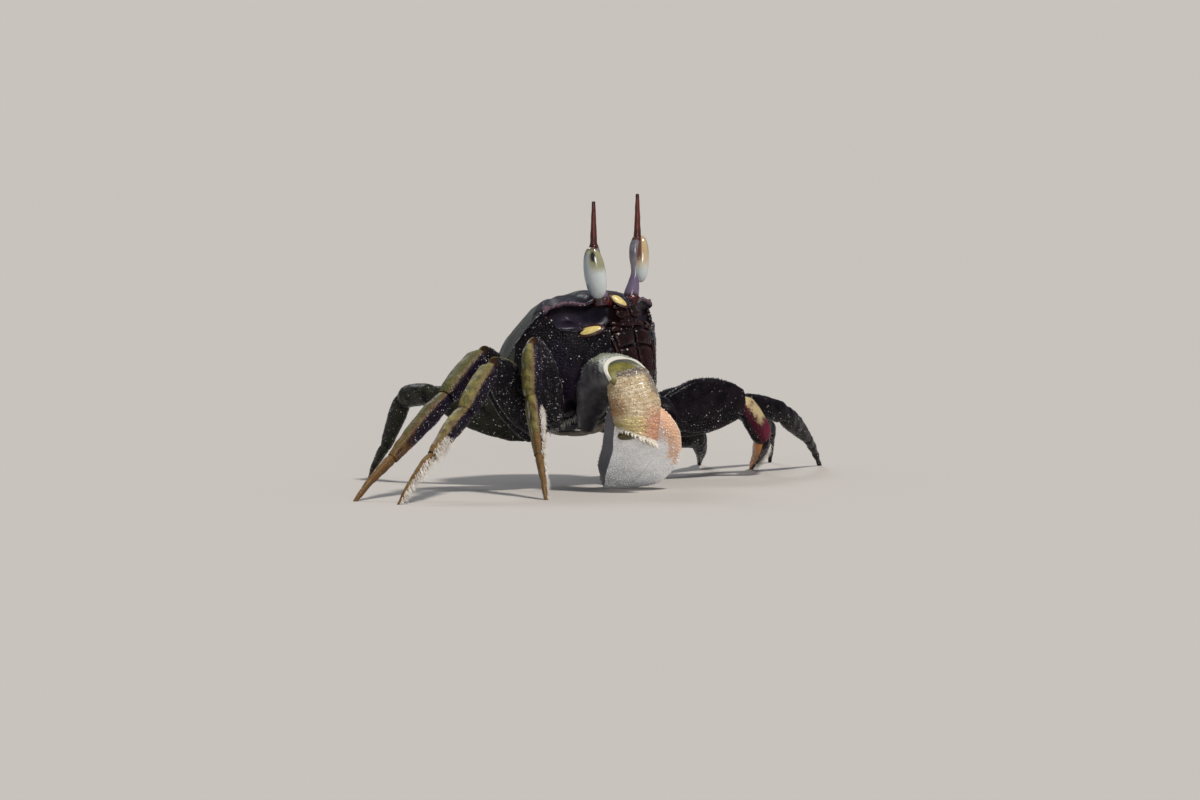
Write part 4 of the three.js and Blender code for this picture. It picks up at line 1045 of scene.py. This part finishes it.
def makeCornea():
    finish, tree = newFinish("corneaGloss")
    spot = lay(tree, "ShaderNodeTexCoord").outputs["Object"]
    cloud = noiseOf(tree, spot, 2.5, 3.0)
    uneven = calc(tree, "MULTIPLY", calc(tree, "SUBTRACT", cloud, 0.5), 0.18)
    colour = blendColour(tree, stretch(tree, maskOf(tree, "ahead"), -0.8, 0.2), (0.24, 0.3, 0.34), (0.5, 0.54, 0.54))
    # olive over the top and down the front half, with a cloudy border
    high, ahead = calc(tree, "ADD", maskOf(tree, "along"), uneven), calc(tree, "ADD", maskOf(tree, "ahead"), uneven)
    front = calc(tree, "MULTIPLY", stretch(tree, high, 0.44, 0.66), stretch(tree, ahead, -0.45, 0.2))
    olive = calc(tree, "MAXIMUM", front, stretch(tree, high, 0.82, 0.95))
    colour = blendColour(tree, calc(tree, "MULTIPLY", olive, 0.92), colour, (0.25, 0.235, 0.115))
    colour = blendColour(tree, stretch(tree, high, 0.9, 1.0), colour, (0.11, 0.08, 0.04))
    warm = calc(tree, "MULTIPLY", stretch(tree, maskOf(tree, "facing"), 0.7, 0.2), stretch(tree, high, 0.2, 0.5))
    colour = blendColour(tree, calc(tree, "MULTIPLY", warm, 0.85), colour, (0.48, 0.35, 0.19))
    inner = calc(tree, "MULTIPLY", stretch(tree, maskOf(tree, "facing"), -0.5, -0.65), stretch(tree, high, 0.4, 0.6))
    colour = blendColour(tree, calc(tree, "MULTIPLY", inner, 0.9), colour, (0.1, 0.018, 0.012))
    smudge = calc(tree, "MULTIPLY", stretch(tree, maskOf(tree, "pupil"), 0.02, 0.5), stretch(tree, cloud, 0.4, 0.6))
    colour = blendColour(tree, calc(tree, "MULTIPLY", smudge, 0.7), colour, (0.06, 0.045, 0.02))
    pupil = stretch(tree, calc(tree, "ADD", maskOf(tree, "pupil"), uneven), 0.3, 0.75)
    colour = blendColour(tree, pupil, colour, (0.01, 0.008, 0.004))
    facets = cellsOf(tree, spot, 0.12, jitter=0.3)
    relief = lay(tree, "ShaderNodeBump", {"Height": facets, "Strength": 0.06, "Distance": 0.00003})
    skin = lay(tree, "ShaderNodeBsdfPrincipled", {
        "Base Color": colour, "Roughness": stretch(tree, cloud, 0.3, 0.7, 0.14, 0.24), "Normal": relief, "Coat Weight": 0.8,
        "Coat Roughness": 0.04, "Subsurface Weight": 0.15, "Subsurface Scale": 0.001,
    })
    lay(tree, "ShaderNodeOutputMaterial", {"Surface": skin})
    return finish


corneaFinish = makeCornea()
for label in eyeSides:
    buildEye(label)
print("eyes built")

# claws
claws = {
    "right": {
        "root": [-9.5, -13.5, 24], "hip": [-15.3, -12.6, 17.1], "elbow": [-18.4, -29.4, 31], "cuff": [-17.2, -33.6, 14.8],
        "hand": [[-16.1, -31.6, 21.8], [-11.4, -28.4, 16], [-7, -24.1, 9.8], [-4.3, -17.7, 3.7], [-4.1, -10.5, 0]],
        "across": [0.637, -0.77, 0], "scale": 1.0, "armBow": 0.1,
        "finishes": ["clawArm", "clawWrist", "clawHand"], "slots": ["claw_arm", "claw_wrist", "claw_hand"],
    },
    "left": {
        "root": [9.5, -13, 25], "hip": [13.5, -13.5, 20.5], "elbow": [6.5, -20.5, 17.5], "cuff": [4.2, -15.5, 12],
        "hand": [[4.6, -17.2, 13.4], [4.2, -12.4, 11], [5, -7.4, 8.7], [6.4, -3.4, 7], [8.2, 0.4, 5.6]],
        "across": [0.5, 0, 0.87], "scale": 0.52, "armBow": 0.03,
        "finishes": ["darkLeg", "darkLeg", "clawHand"], "slots": ["dark_leg", "dark_leg", "claw_hand"],
    },
}
clawShape = {
    "coxa": [[0, 0.13, 0.13], [0.8, 0.13, 0.13], [1, 0.08, 0.08]],
    "arm": [[0, 0.11, 0.12], [0.25, 0.2, 0.2], [0.5, 0.275, 0.245], [0.78, 0.31, 0.3], [0.9, 0.3, 0.325], [1, 0.225, 0.315]],
    "wrist": [[0, 0.225, 0.165], [0.12, 0.256, 0.19], [0.45, 0.288, 0.21], [0.8, 0.25, 0.185], [1, 0.195, 0.15]],
    "wristLine": [0.35, 0.3, 1.7],
    "hand": [[0, 0.3, 0.13], [0.1, 0.4, 0.16], [0.25, 0.445, 0.178], [0.45, 0.455, 0.175], [0.62, 0.43, 0.15],
             [0.76, 0.345, 0.115], [0.9, 0.18, 0.075], [1, 0.05, 0.04]],
    "handOutline": np.array([
        (1.0, 0.0), (0.93, 0.45), (0.75, 0.8), (0.4, 0.96), (0.0, 1.0), (-0.4, 0.96), (-0.68, 0.86), (-0.75, 0.8),
        (-0.84, 0.55), (-0.93, 0.22), (-1.0, -0.12), (-0.9, -0.55), (-0.6, -0.85), (-0.1, -1.0), (0.4, -0.97), (0.8, -0.7),
    ]),
    "fingerRoot": 0.46, "fingerAcross": 0.06, "fingerReach": 0.4, "fingerGap": 0.1,
    "striaSpacing": 1.1, "striaHeight": 0.08, "elbowBulge": 1.7, "wristBulge": 1.5, "cuffTuck": 0.34, "cuffBack": 2.5,
}


def cutWith(piece, tool, operation):
    cut = piece.modifiers.new("part", "BOOLEAN")
    cut.operation, cut.object, cut.solver = operation, tool, "EXACT"
    graph = bpy.context.evaluated_depsgraph_get()
    mesh = bpy.data.meshes.new_from_object(piece.evaluated_get(graph), preserve_all_data_layers=True, depsgraph=graph)
    piece.modifiers.clear()
    piece.data = mesh


def buildArm(label, claw, hip, elbow):
    scale = claw["scale"]
    stations = [[t, h * scale, d * scale] for t, h, d in clawShape["arm"]]
    grid, masks, (tall, side, along) = limbGrid(hip, elbow, vec(0, 0, 1), stations, claw["armBow"], rows=96, columns=72, sink=0.06)
    upper, at = masks["upper"], masks["along"]
    masks["crest"] = ramp(0.35, 0.9, upper) * ramp(0.45, 0.85, at)
    masks["side"] = ramp(0.0, 0.6, -upper) * 0.8
    masks["rim"] = ramp(0.972, 0.982, at) * (1 - masks["joint"]) * ramp(-0.6, -0.2, upper)
    masks["granular"] = np.maximum(masks["crest"], ramp(0.78, 0.86, at) * ramp(-0.3, 0.2, upper)) * (1 - ramp(0.95, 0.96, at)) + 0.12 * (at < 0.9)
    grid = grid + outwardOf(grid) * (hump(0.975, 0.02, at) * 0.22 * (1 - masks["joint"]))[..., None]
    # the cuff's lower edge is drawn in and back, out of the wrist's way
    low = (ramp(0.0, 0.6, -upper) * ramp(0.7, 1.0, at))[..., None]
    grid = grid + (grid.mean(1, keepdims=True) - grid) * clawShape["cuffTuck"] * low - along * clawShape["cuffBack"] * scale * low
    masks["band"] = ramp(0.88, 0.94, at) * ramp(-0.2, 0.3, upper) * (1 - masks["rim"])
    name = f"claw_{label}_merus"
    piece = limbSkin(f"{name}_shell", grid, masks, 61, 5.0, 0.12)
    place(piece, finishes[claw["finishes"][0]], claw["slots"][0], name)
    grown(f"{name}_granules", piece, granuleTree("granular", finishes[claw["finishes"][0]]), claw["slots"][0],
          Spacing=0.00055, Density=4e6, Radius=0.00027 * max(scale, 0.6), Flatness=0.9, Seed=61)
    end = stations[-1]
    axes = (along * clawShape["elbowBulge"] * scale, tall * end[1] * w * 0.43, side * end[2] * w * 0.43)
    lump(f"claw_{label}_elbow", elbow - along * 1.2 * scale, axes, finishes["elbow" if scale == 1 else "darkLeg"], claw["slots"][0], 64, 0.02)


def buildWrist(label, claw, elbow, cuff, across):
    scale = claw["scale"]
    stations = [[t, h * scale, d * scale] for t, h, d in clawShape["wrist"]]
    line = [elbow + (cuff - elbow) * t - across * drift * scale for t, drift in zip((0, 0.5, 1), clawShape["wristLine"])]
    grid, masks, (tall, side, along) = limbGrid(
        elbow, cuff, across, stations, rows=150, columns=84, dome=0.06, slant=0.2, sink=0.05, shrink=0.985, line=line)
    cuff = line[-1]
    length = np.linalg.norm(cuff - elbow)
    upper, front, at = masks["upper"], masks["posterior"], masks["along"]
    edge = ramp(0.93, 0.985, at)
    wave = (at * length / (clawShape["striaSpacing"] * max(scale, 0.6)) + 0.5 * upper**2 + 0.35 * lumps(grid, 5.0, 65)) % 1.0
    stria = np.where(wave < 0.3, wave / 0.3, (1 - wave) / 0.7) * (1 - edge) * (1 - masks["joint"]) * ramp(0.0, 0.06, at)
    grid = grid + outwardOf(grid) * (stria * clawShape["striaHeight"])[..., None]
    masks.update(
        stria=1 - stria, edge=edge * (1 - masks["joint"]), rightLow=ramp(-0.4, 1.0, upper) * ramp(0.35, 0.8, at),
        # left side of the carpus: brown tone with painted shade
        leftSide=ramp(0.0, 0.7, -upper) * hump(0.5, 0.26, at), olive=ramp(0.3, 0.8, -upper) * hump(0.86, 0.1, at),
        straw=ramp(0.45, 0.85, at) * ramp(0.9, 0.3, np.abs(upper + 0.1)),
        upper=np.maximum((1 - ramp(0.0, 0.18, at)) * ramp(-0.5, 0.5, upper + 0.3), ramp(0.5, 0.95, upper) * (1 - ramp(0.3, 0.55, at))),
        dome=1 - ramp(0.0, 0.05, at), granular=(1 - masks["joint"]) * (1 - edge) * np.maximum(0.15 + 0.85 * ramp(-0.7, 1.0, upper), 1 - ramp(0.1, 0.6, at)),
    )
    name = f"claw_{label}_carpus"
    piece = limbSkin(f"{name}_shell", grid, masks, 62, 4.0, 0.1)
    finish, slot = finishes[claw["finishes"][1]], claw["slots"][1]
    place(piece, finish, slot, name)
    grown(f"{name}_granules", piece, granuleTree("granular", finish), slot, Spacing=0.0006, Density=5e6, Radius=0.00024, Seed=62)
    ring = int(np.argmax(at[:, 0] >= 1.0))
    points, ways, sizes = [], [], []
    draw = np.random.default_rng(7)
    count = 34 if scale == 1 else 20
    for column in np.linspace(0, grid.shape[1], count, endpoint=False).astype(int):
        out = unit(grid[ring, column] - grid[ring].mean(0))
        points.append(grid[ring, column] + along * 0.1 - out * 0.12)
        ways.append(along + out * 0.25)
        sizes.append(draw.uniform(0.3, 0.62) * max(scale, 0.5))
    beadRow(f"{name}_teeth", points, ways, sizes, finishes["teeth" if scale == 1 else "darkLeg"], slot, "tooth", 1.1)
    end = stations[-1]
    axes = (along * clawShape["wristBulge"] * scale, tall * end[1] * w * 0.4, side * end[2] * w * 0.45)
    # soft skin under the carpus, in the darkened olive of painted shade
    lump(f"claw_{label}_wrist_skin", cuff - (along * 1.15 + tall * 1.4) * scale, axes, finishes["wristSkinInShade"], slot, 66, 0.03)


def buildHand(label, claw, line, across):
    scale = claw["scale"]
    stations = [[t, h * scale, d * scale] for t, h, d in clawShape["hand"]]
    grid, masks, _ = limbGrid(line[0], line[-1], across, stations, line=line, rows=130, columns=104, cuff=False, dome=0.03,
                              outline=clawShape["handOutline"], shrink=0.985)
    upper, front, at = masks["upper"].copy(), masks["posterior"].copy(), masks["along"]
    # the hand's left side face, where grey painted shade is laid
    masks["leftSide"] = ramp(0.74, 0.79, -upper) * ramp(-0.3, 0.0, front)
    fold = (hump(0.52, 0.035, upper) + 0.6 * hump(0.64, 0.03, upper)) * (1 - ramp(0.24, 0.36, at)) * ramp(0.2, 0.5, front)
    masks["rightEdge"] = ramp(0.25, 0.95, upper) * (1 - ramp(0.32, 0.6, at)) * (1 - 0.6 * fold)
    masks["upper"] = (1 - ramp(0.1, 0.4, at)) * (0.7 + 0.3 * ramp(-0.2, 0.6, upper))
    masks["blue"] = ramp(0.1, 0.7, upper) * ramp(0.35, 0.6, at) * (0.6 + 0.4 * lumps(grid, 5.0, 67))
    masks["granular"] = (1 - masks["leftSide"]) * ramp(0.0, 0.05, at) * ramp(0.4, 0.8, grid[..., 2])
    seam = hump(0.1, 0.02, upper) * ramp(0.2, 0.3, at) * (1 - ramp(0.5, 0.62, at)) * ramp(0, 0.4, front)
    grid = grid + outwardOf(grid) * ((fold * 0.3 - seam * 0.15) * scale)[..., None]
    grid = grid + outwardOf(grid) * (lumps(grid, 6.0, 63) * 0.1)[..., None]
    grid[..., 2] = np.maximum(grid[..., 2], 0.02)
    name, slot, finish, bead = f"claw_{label}_palm", claw["slots"][2], finishes[claw["finishes"][2]], finishes["handGranules"]
    hand = skinFromRings(f"{name}_shell", grid, masks)
    finger = skinFromRings(f"claw_{label}_dactyl_shell", grid, masks)
    knuckle = lineThrough(line, clawShape["fingerRoot"] * (len(line) - 1)) + across * clawShape["fingerAcross"] * scale * w
    wrist, tip = line[0], line[-1]
    along = unit(tip - wrist)
    thin = unit(np.cross(along, across))
    far, gap = clawShape["fingerReach"] * scale * w, clawShape["fingerGap"]
    for piece, step, operation in ((finger, 0.0, "INTERSECT"), (hand, gap, "DIFFERENCE")):
        corners = np.array([knuckle - across * step - along * step, knuckle + across * far - along * step,
                            tip + across * far + along * far, tip - across * step + along * far])
        block = skinFromRings("fingerBlock", np.stack([corners - thin * far, corners + thin * far]))
        cutWith(piece, block, operation)
        bpy.data.objects.remove(block)
    place(hand, finish, slot, name)
    place(finger, finish, slot, f"claw_{label}_dactyl")
    for skin, granules, seed in ((hand, f"{name}_granules", 63), (finger, f"claw_{label}_dactyl_granules", 64)):
        grown(granules, skin, granuleTree("granular", bead), slot, Spacing=0.0006, Density=6e6, Radius=0.00025, Flatness=1.0, Seed=seed)
    rightColumn = int(np.argmax(upper[20]))
    length = np.linalg.norm(np.diff(line, axis=0), axis=1).sum()
    for edge, column, start, end in (("right", rightColumn, 0.03, 0.95), ("left", int(np.argmin(np.abs(upper[20] + 0.75) + (front[20] < 0))), 0.12, 0.9)):
        share = np.arange(start, end, (0.62 if edge == "right" else 0.5) * max(scale, 0.6) / length)
        rows = np.interp(share, at[:, 0], np.arange(len(grid))).astype(int)
        points = grid[rows, column]
        ways = outwardOf(grid)[rows, column]
        size = 0.33 if edge == "right" else 0.14
        above = points[:, 2] > 0.5
        beadRow(f"{name}_{edge}_edge", (points - ways * 0.05)[above], ways[above], np.full(above.sum(), size * max(scale, 0.6)), bead, slot,
                masks={"rightEdge": masks["rightEdge"][rows, column][above]})


def buildClaw(label):
    claw = claws[label]
    scale = claw["scale"]
    root, hip, elbow, cuff, across = (np.array(claw[k], float) for k in ("root", "hip", "elbow", "cuff", "across"))
    across = unit(across)
    stations = [[t, h * scale, d * scale] for t, h, d in clawShape["coxa"]]
    grid, masks, _ = limbGrid(root, hip + (elbow - hip) * 0.12, vec(0, 0, 1), stations, rows=24, cuff=False)
    place(limbSkin(f"claw_{label}_coxa", grid, masks, 60), finishes["darkLeg"], "dark_leg")
    buildArm(label, claw, hip, elbow)
    buildWrist(label, claw, elbow, cuff, across)
    buildHand(label, claw, np.array(claw["hand"], float), across)


for label in claws:
    buildClaw(label)
print("claws built")

# mouth plates, antennules and tail plate
mouth = {
    "inner": 0.06, "outer": 1.46, "top": 1.1, "parting": 1.42, "bottom": 1.96, "thickness": 1.15,
    "palpFrom": 1.5, "palpTo": 1.68, "palpThickness": 0.9,
}
tail = {"halfWidths": [0.13, 0.12, 0.1, 0.085, 0.07, 0.055, 0.035], "lift": 0.35, "thickness": 1.3}


def platePatch(name, side, places, levels, thickness, finish, slot, *nodes, rows=40, columns=30):
    # a swollen plate lying on a stretch of the trunk wall
    at, level = np.linspace(*places, columns), np.linspace(*levels, rows)
    _, _, spot, _ = trunkGrid(at, level)
    base = trunkPoint(side * spot[..., 0], spot[..., 1], spot[..., 2])
    outward = outwardOf(base, wrap=False)
    if (outward * (base - trunkPoint(*[np.float64(0)] * 3))).sum() < 0:
        outward = -outward
    u, v = np.linspace(-1, 1, columns)[None], np.linspace(-1, 1, rows)[:, None]
    full = np.clip(1 - np.abs(u) ** 2.6, 0, 1) ** 0.5 * np.clip(1 - np.abs(v) ** 3.0, 0, 1) ** 0.5
    groove = hump(0.45, 0.07, u + 0 * v) * 0.22
    relief = 0.1 + thickness * (0.12 + 0.88 * full) - groove * full + lumps(base, 2.5, 70) * 0.07
    grid = np.concatenate([base + outward * relief[..., None], (base - outward * 0.3)[:, ::-1]], 1)
    masks = {"groove": np.concatenate([hump(0.45, 0.1, u + 0 * v), 0 * u + 0 * v], 1), "granular": np.concatenate([full, 0 * full], 1)}
    piece = skinFromRings(name, grid, masks)
    place(piece, finish, slot, *nodes)
    grown(f"{name}_granules", piece, granuleTree("granular", finish), slot, Spacing=0.0006, Density=2e6, Radius=0.00014, Seed=71)


def buildMouth():
    for side, label in ((-1, "right"), (1, "left")):
        node = f"mouth_cover_{label}"
        span = (mouth["inner"], mouth["outer"])
        finish = finishes["mouthParts"]
        platePatch(f"{node}_upper_plate", side, span, (mouth["top"], mouth["parting"] - 0.01), mouth["thickness"], finish, "mouth_parts", node)
        platePatch(f"{node}_lower_plate", side, span, (mouth["parting"] + 0.01, mouth["bottom"]), mouth["thickness"], finish, "mouth_parts", node)
        platePatch(f"{node}_palp", side, (mouth["palpFrom"], mouth["palpTo"]), (1.16, 1.9), mouth["palpThickness"], finish, "mouth_parts", columns=14)
        # folded antennules under the front, an antenna at the orbit's inner corner, and the ridge above the mouth
        bits = [("antennule_base", 0.62, 0.66, (1.3, 2.2, 0.7)), ("antennule_fold", 0.32, 0.52, (1.9, 1.0, 0.7)),
                ("antennule_tip", 0.7, 0.42, (0.8, 1.8, 0.6)), ("antenna_base", 1.08, 0.84, (1.1, 1.4, 1.0)),
                ("mouth_corner", 1.35, 1.02, (0.8, 1.5, 0.8)), ("mouth_ridge", 0.45, 0.98, (0.7, 2.6, 0.9))]
        for number, (name, at, level, (tall, wide, deep)) in enumerate(bits):
            spot, way = onTrunk(at, level, side)
            across = unit(np.cross(way, vec(0, 0, 1)))
            upward = np.cross(across, way)
            lump(f"{name}_{label}", spot + way * deep * 0.35, (upward * tall, across * wide, way * deep), finish, "mouth_parts",
                 80 + number + (10 if side > 0 else 0), 0.12)
        start, way = onTrunk(1.15, 0.8, side)
        end, _ = onTrunk(1.75, 0.9, side)
        share = np.linspace(0, 1, 11)[:, None]
        points = start + way * 0.9 + (end - start) * share + way * np.sin(share * math.pi) * 0.5
        beadRow(f"antenna_{label}", points, [unit(end - start)] * 11, np.linspace(0.34, 0.12, 11), finish, "mouth_parts", stretch=1.4)


buildMouth()


def tailPlate():
    ends = [(8.0, s) for s in (0.5, 1, 1.5, 1.95, 2.28, 2.6, 2.9)]
    t = np.linspace(0, len(ends) - 1, 90)
    steps = np.interp(t, np.arange(len(ends)), [s for _, s in ends])
    _, _, spot, _ = trunkGrid(np.array([8.0]), steps)
    half = np.interp(t, np.arange(len(ends)), tail["halfWidths"])
    share = np.linspace(-1, 1, 24)
    line = trunkPoint(0 * spot[:, 0, 0], spot[:, 0, 1], spot[:, 0, 2])
    outward = line - trunkPoint(*[np.float64(0)] * 3)
    outward /= np.linalg.norm(outward, axis=-1, keepdims=True)
    seam = 0.35 * hump(0.5, 0.12, t % 1.0)
    lift = 0.5 + tail["thickness"] * (1 - 0.45 * share[None] ** 2) - seam[:, None]
    top = line[:, None] + outward[:, None] * lift[..., None] + vec(1, 0, 0) * (share[None] * half[:, None] * w)[..., None]
    under = line[:, None] + outward[:, None] * 0.4 + vec(1, 0, 0) * (share[None] * half[:, None] * w)[..., None]
    grid = np.concatenate([top, under[:, ::-1]], 1)
    place(skinFromRings("tail_plate_shell", grid), finishes["underside"], "belly", "tail_plate")


tailPlate()
print("mouth and tail plates built")

# floor, camera and lights
studio = {"floorHalf": 14.0, "floorColour": (0.5, 0.47, 0.44), "azimuth": -50.4, "elevation": 3.5, "distance": 2.9, "view": 0.3136,
          "key": 2.9, "rim": 0.8, "front": 0.7, "fill": 0.26}


def makeStudio():
    half = studio["floorHalf"]
    mesh = bpy.data.meshes.new("floor")
    mesh.from_pydata([(-half, -half, 0), (half, -half, 0), (half, half, 0), (-half, half, 0)], [], [(0, 1, 2, 3)])
    floor = bpy.data.objects.new("floor", mesh)
    bpy.context.scene.collection.objects.link(floor)
    finish, tree = newFinish("floorPaint")
    skin = lay(tree, "ShaderNodeBsdfPrincipled", {"Base Color": studio["floorColour"], "Roughness": 0.9, "Specular IOR Level": 0.1})
    lay(tree, "ShaderNodeOutputMaterial", {"Surface": skin})
    mesh.materials.append(finish)
    azimuth, elevation = math.radians(studio["azimuth"]), math.radians(studio["elevation"])
    back = vec(math.sin(azimuth) * math.cos(elevation), -math.cos(azimuth) * math.cos(elevation), math.sin(elevation))
    right = vec(math.cos(azimuth), math.sin(azimuth), 0)
    upward = np.cross(back, right)
    aim = (vec(0, 0, body["height"]) + shift + right * 3.6 - upward * 7.4) * 0.001
    lens = bpy.data.cameras.new("camera")
    lens.sensor_width = 36
    lens.lens = 36 * studio["distance"] / studio["view"]
    lens.clip_start, lens.clip_end = 0.05, 60
    camera = bpy.data.objects.new("camera", lens)
    camera.location = Vector(aim + back * studio["distance"])
    camera.rotation_mode = "QUATERNION"
    camera.rotation_quaternion = Vector(-back).to_track_quat("-Z", "Y")
    bpy.context.scene.collection.objects.link(camera)
    bpy.context.scene.camera = camera

    def lamp(name, way, power, colour, angle):
        light = bpy.data.lights.new(name, "SUN")
        light.energy, light.color, light.angle = power, colour, math.radians(angle)
        spot = bpy.data.objects.new(name, light)
        spot.location = Vector(aim + unit(way) * studio["distance"])
        spot.rotation_mode = "QUATERNION"
        spot.rotation_quaternion = Vector(-unit(way)).to_track_quat("-Z", "Y")
        bpy.context.scene.collection.objects.link(spot)

    lamp("keyLight", right * 0.45 + back * 0.5 + vec(0, 0, 0.95), studio["key"], (1, 0.96, 0.9), 7)
    lamp("backLight", -right * 0.35 - back * 0.8 + vec(0, 0, 0.8), studio["rim"], (0.95, 0.97, 1), 20)
    lamp("frontLight", right * 0.1 + back * 1.0 + vec(0, 0, 0.1), studio["front"], (1, 1, 1), 15)
    world = bpy.data.worlds.new("room")
    world.use_nodes = True
    world.node_tree.nodes["Background"].inputs[0].default_value = (0.82, 0.88, 1, 1)
    world.node_tree.nodes["Background"].inputs[1].default_value = studio["fill"]
    bpy.context.scene.world = world
    bpy.context.scene.view_settings.view_transform = "Standard"


makeStudio()
print("studio set")
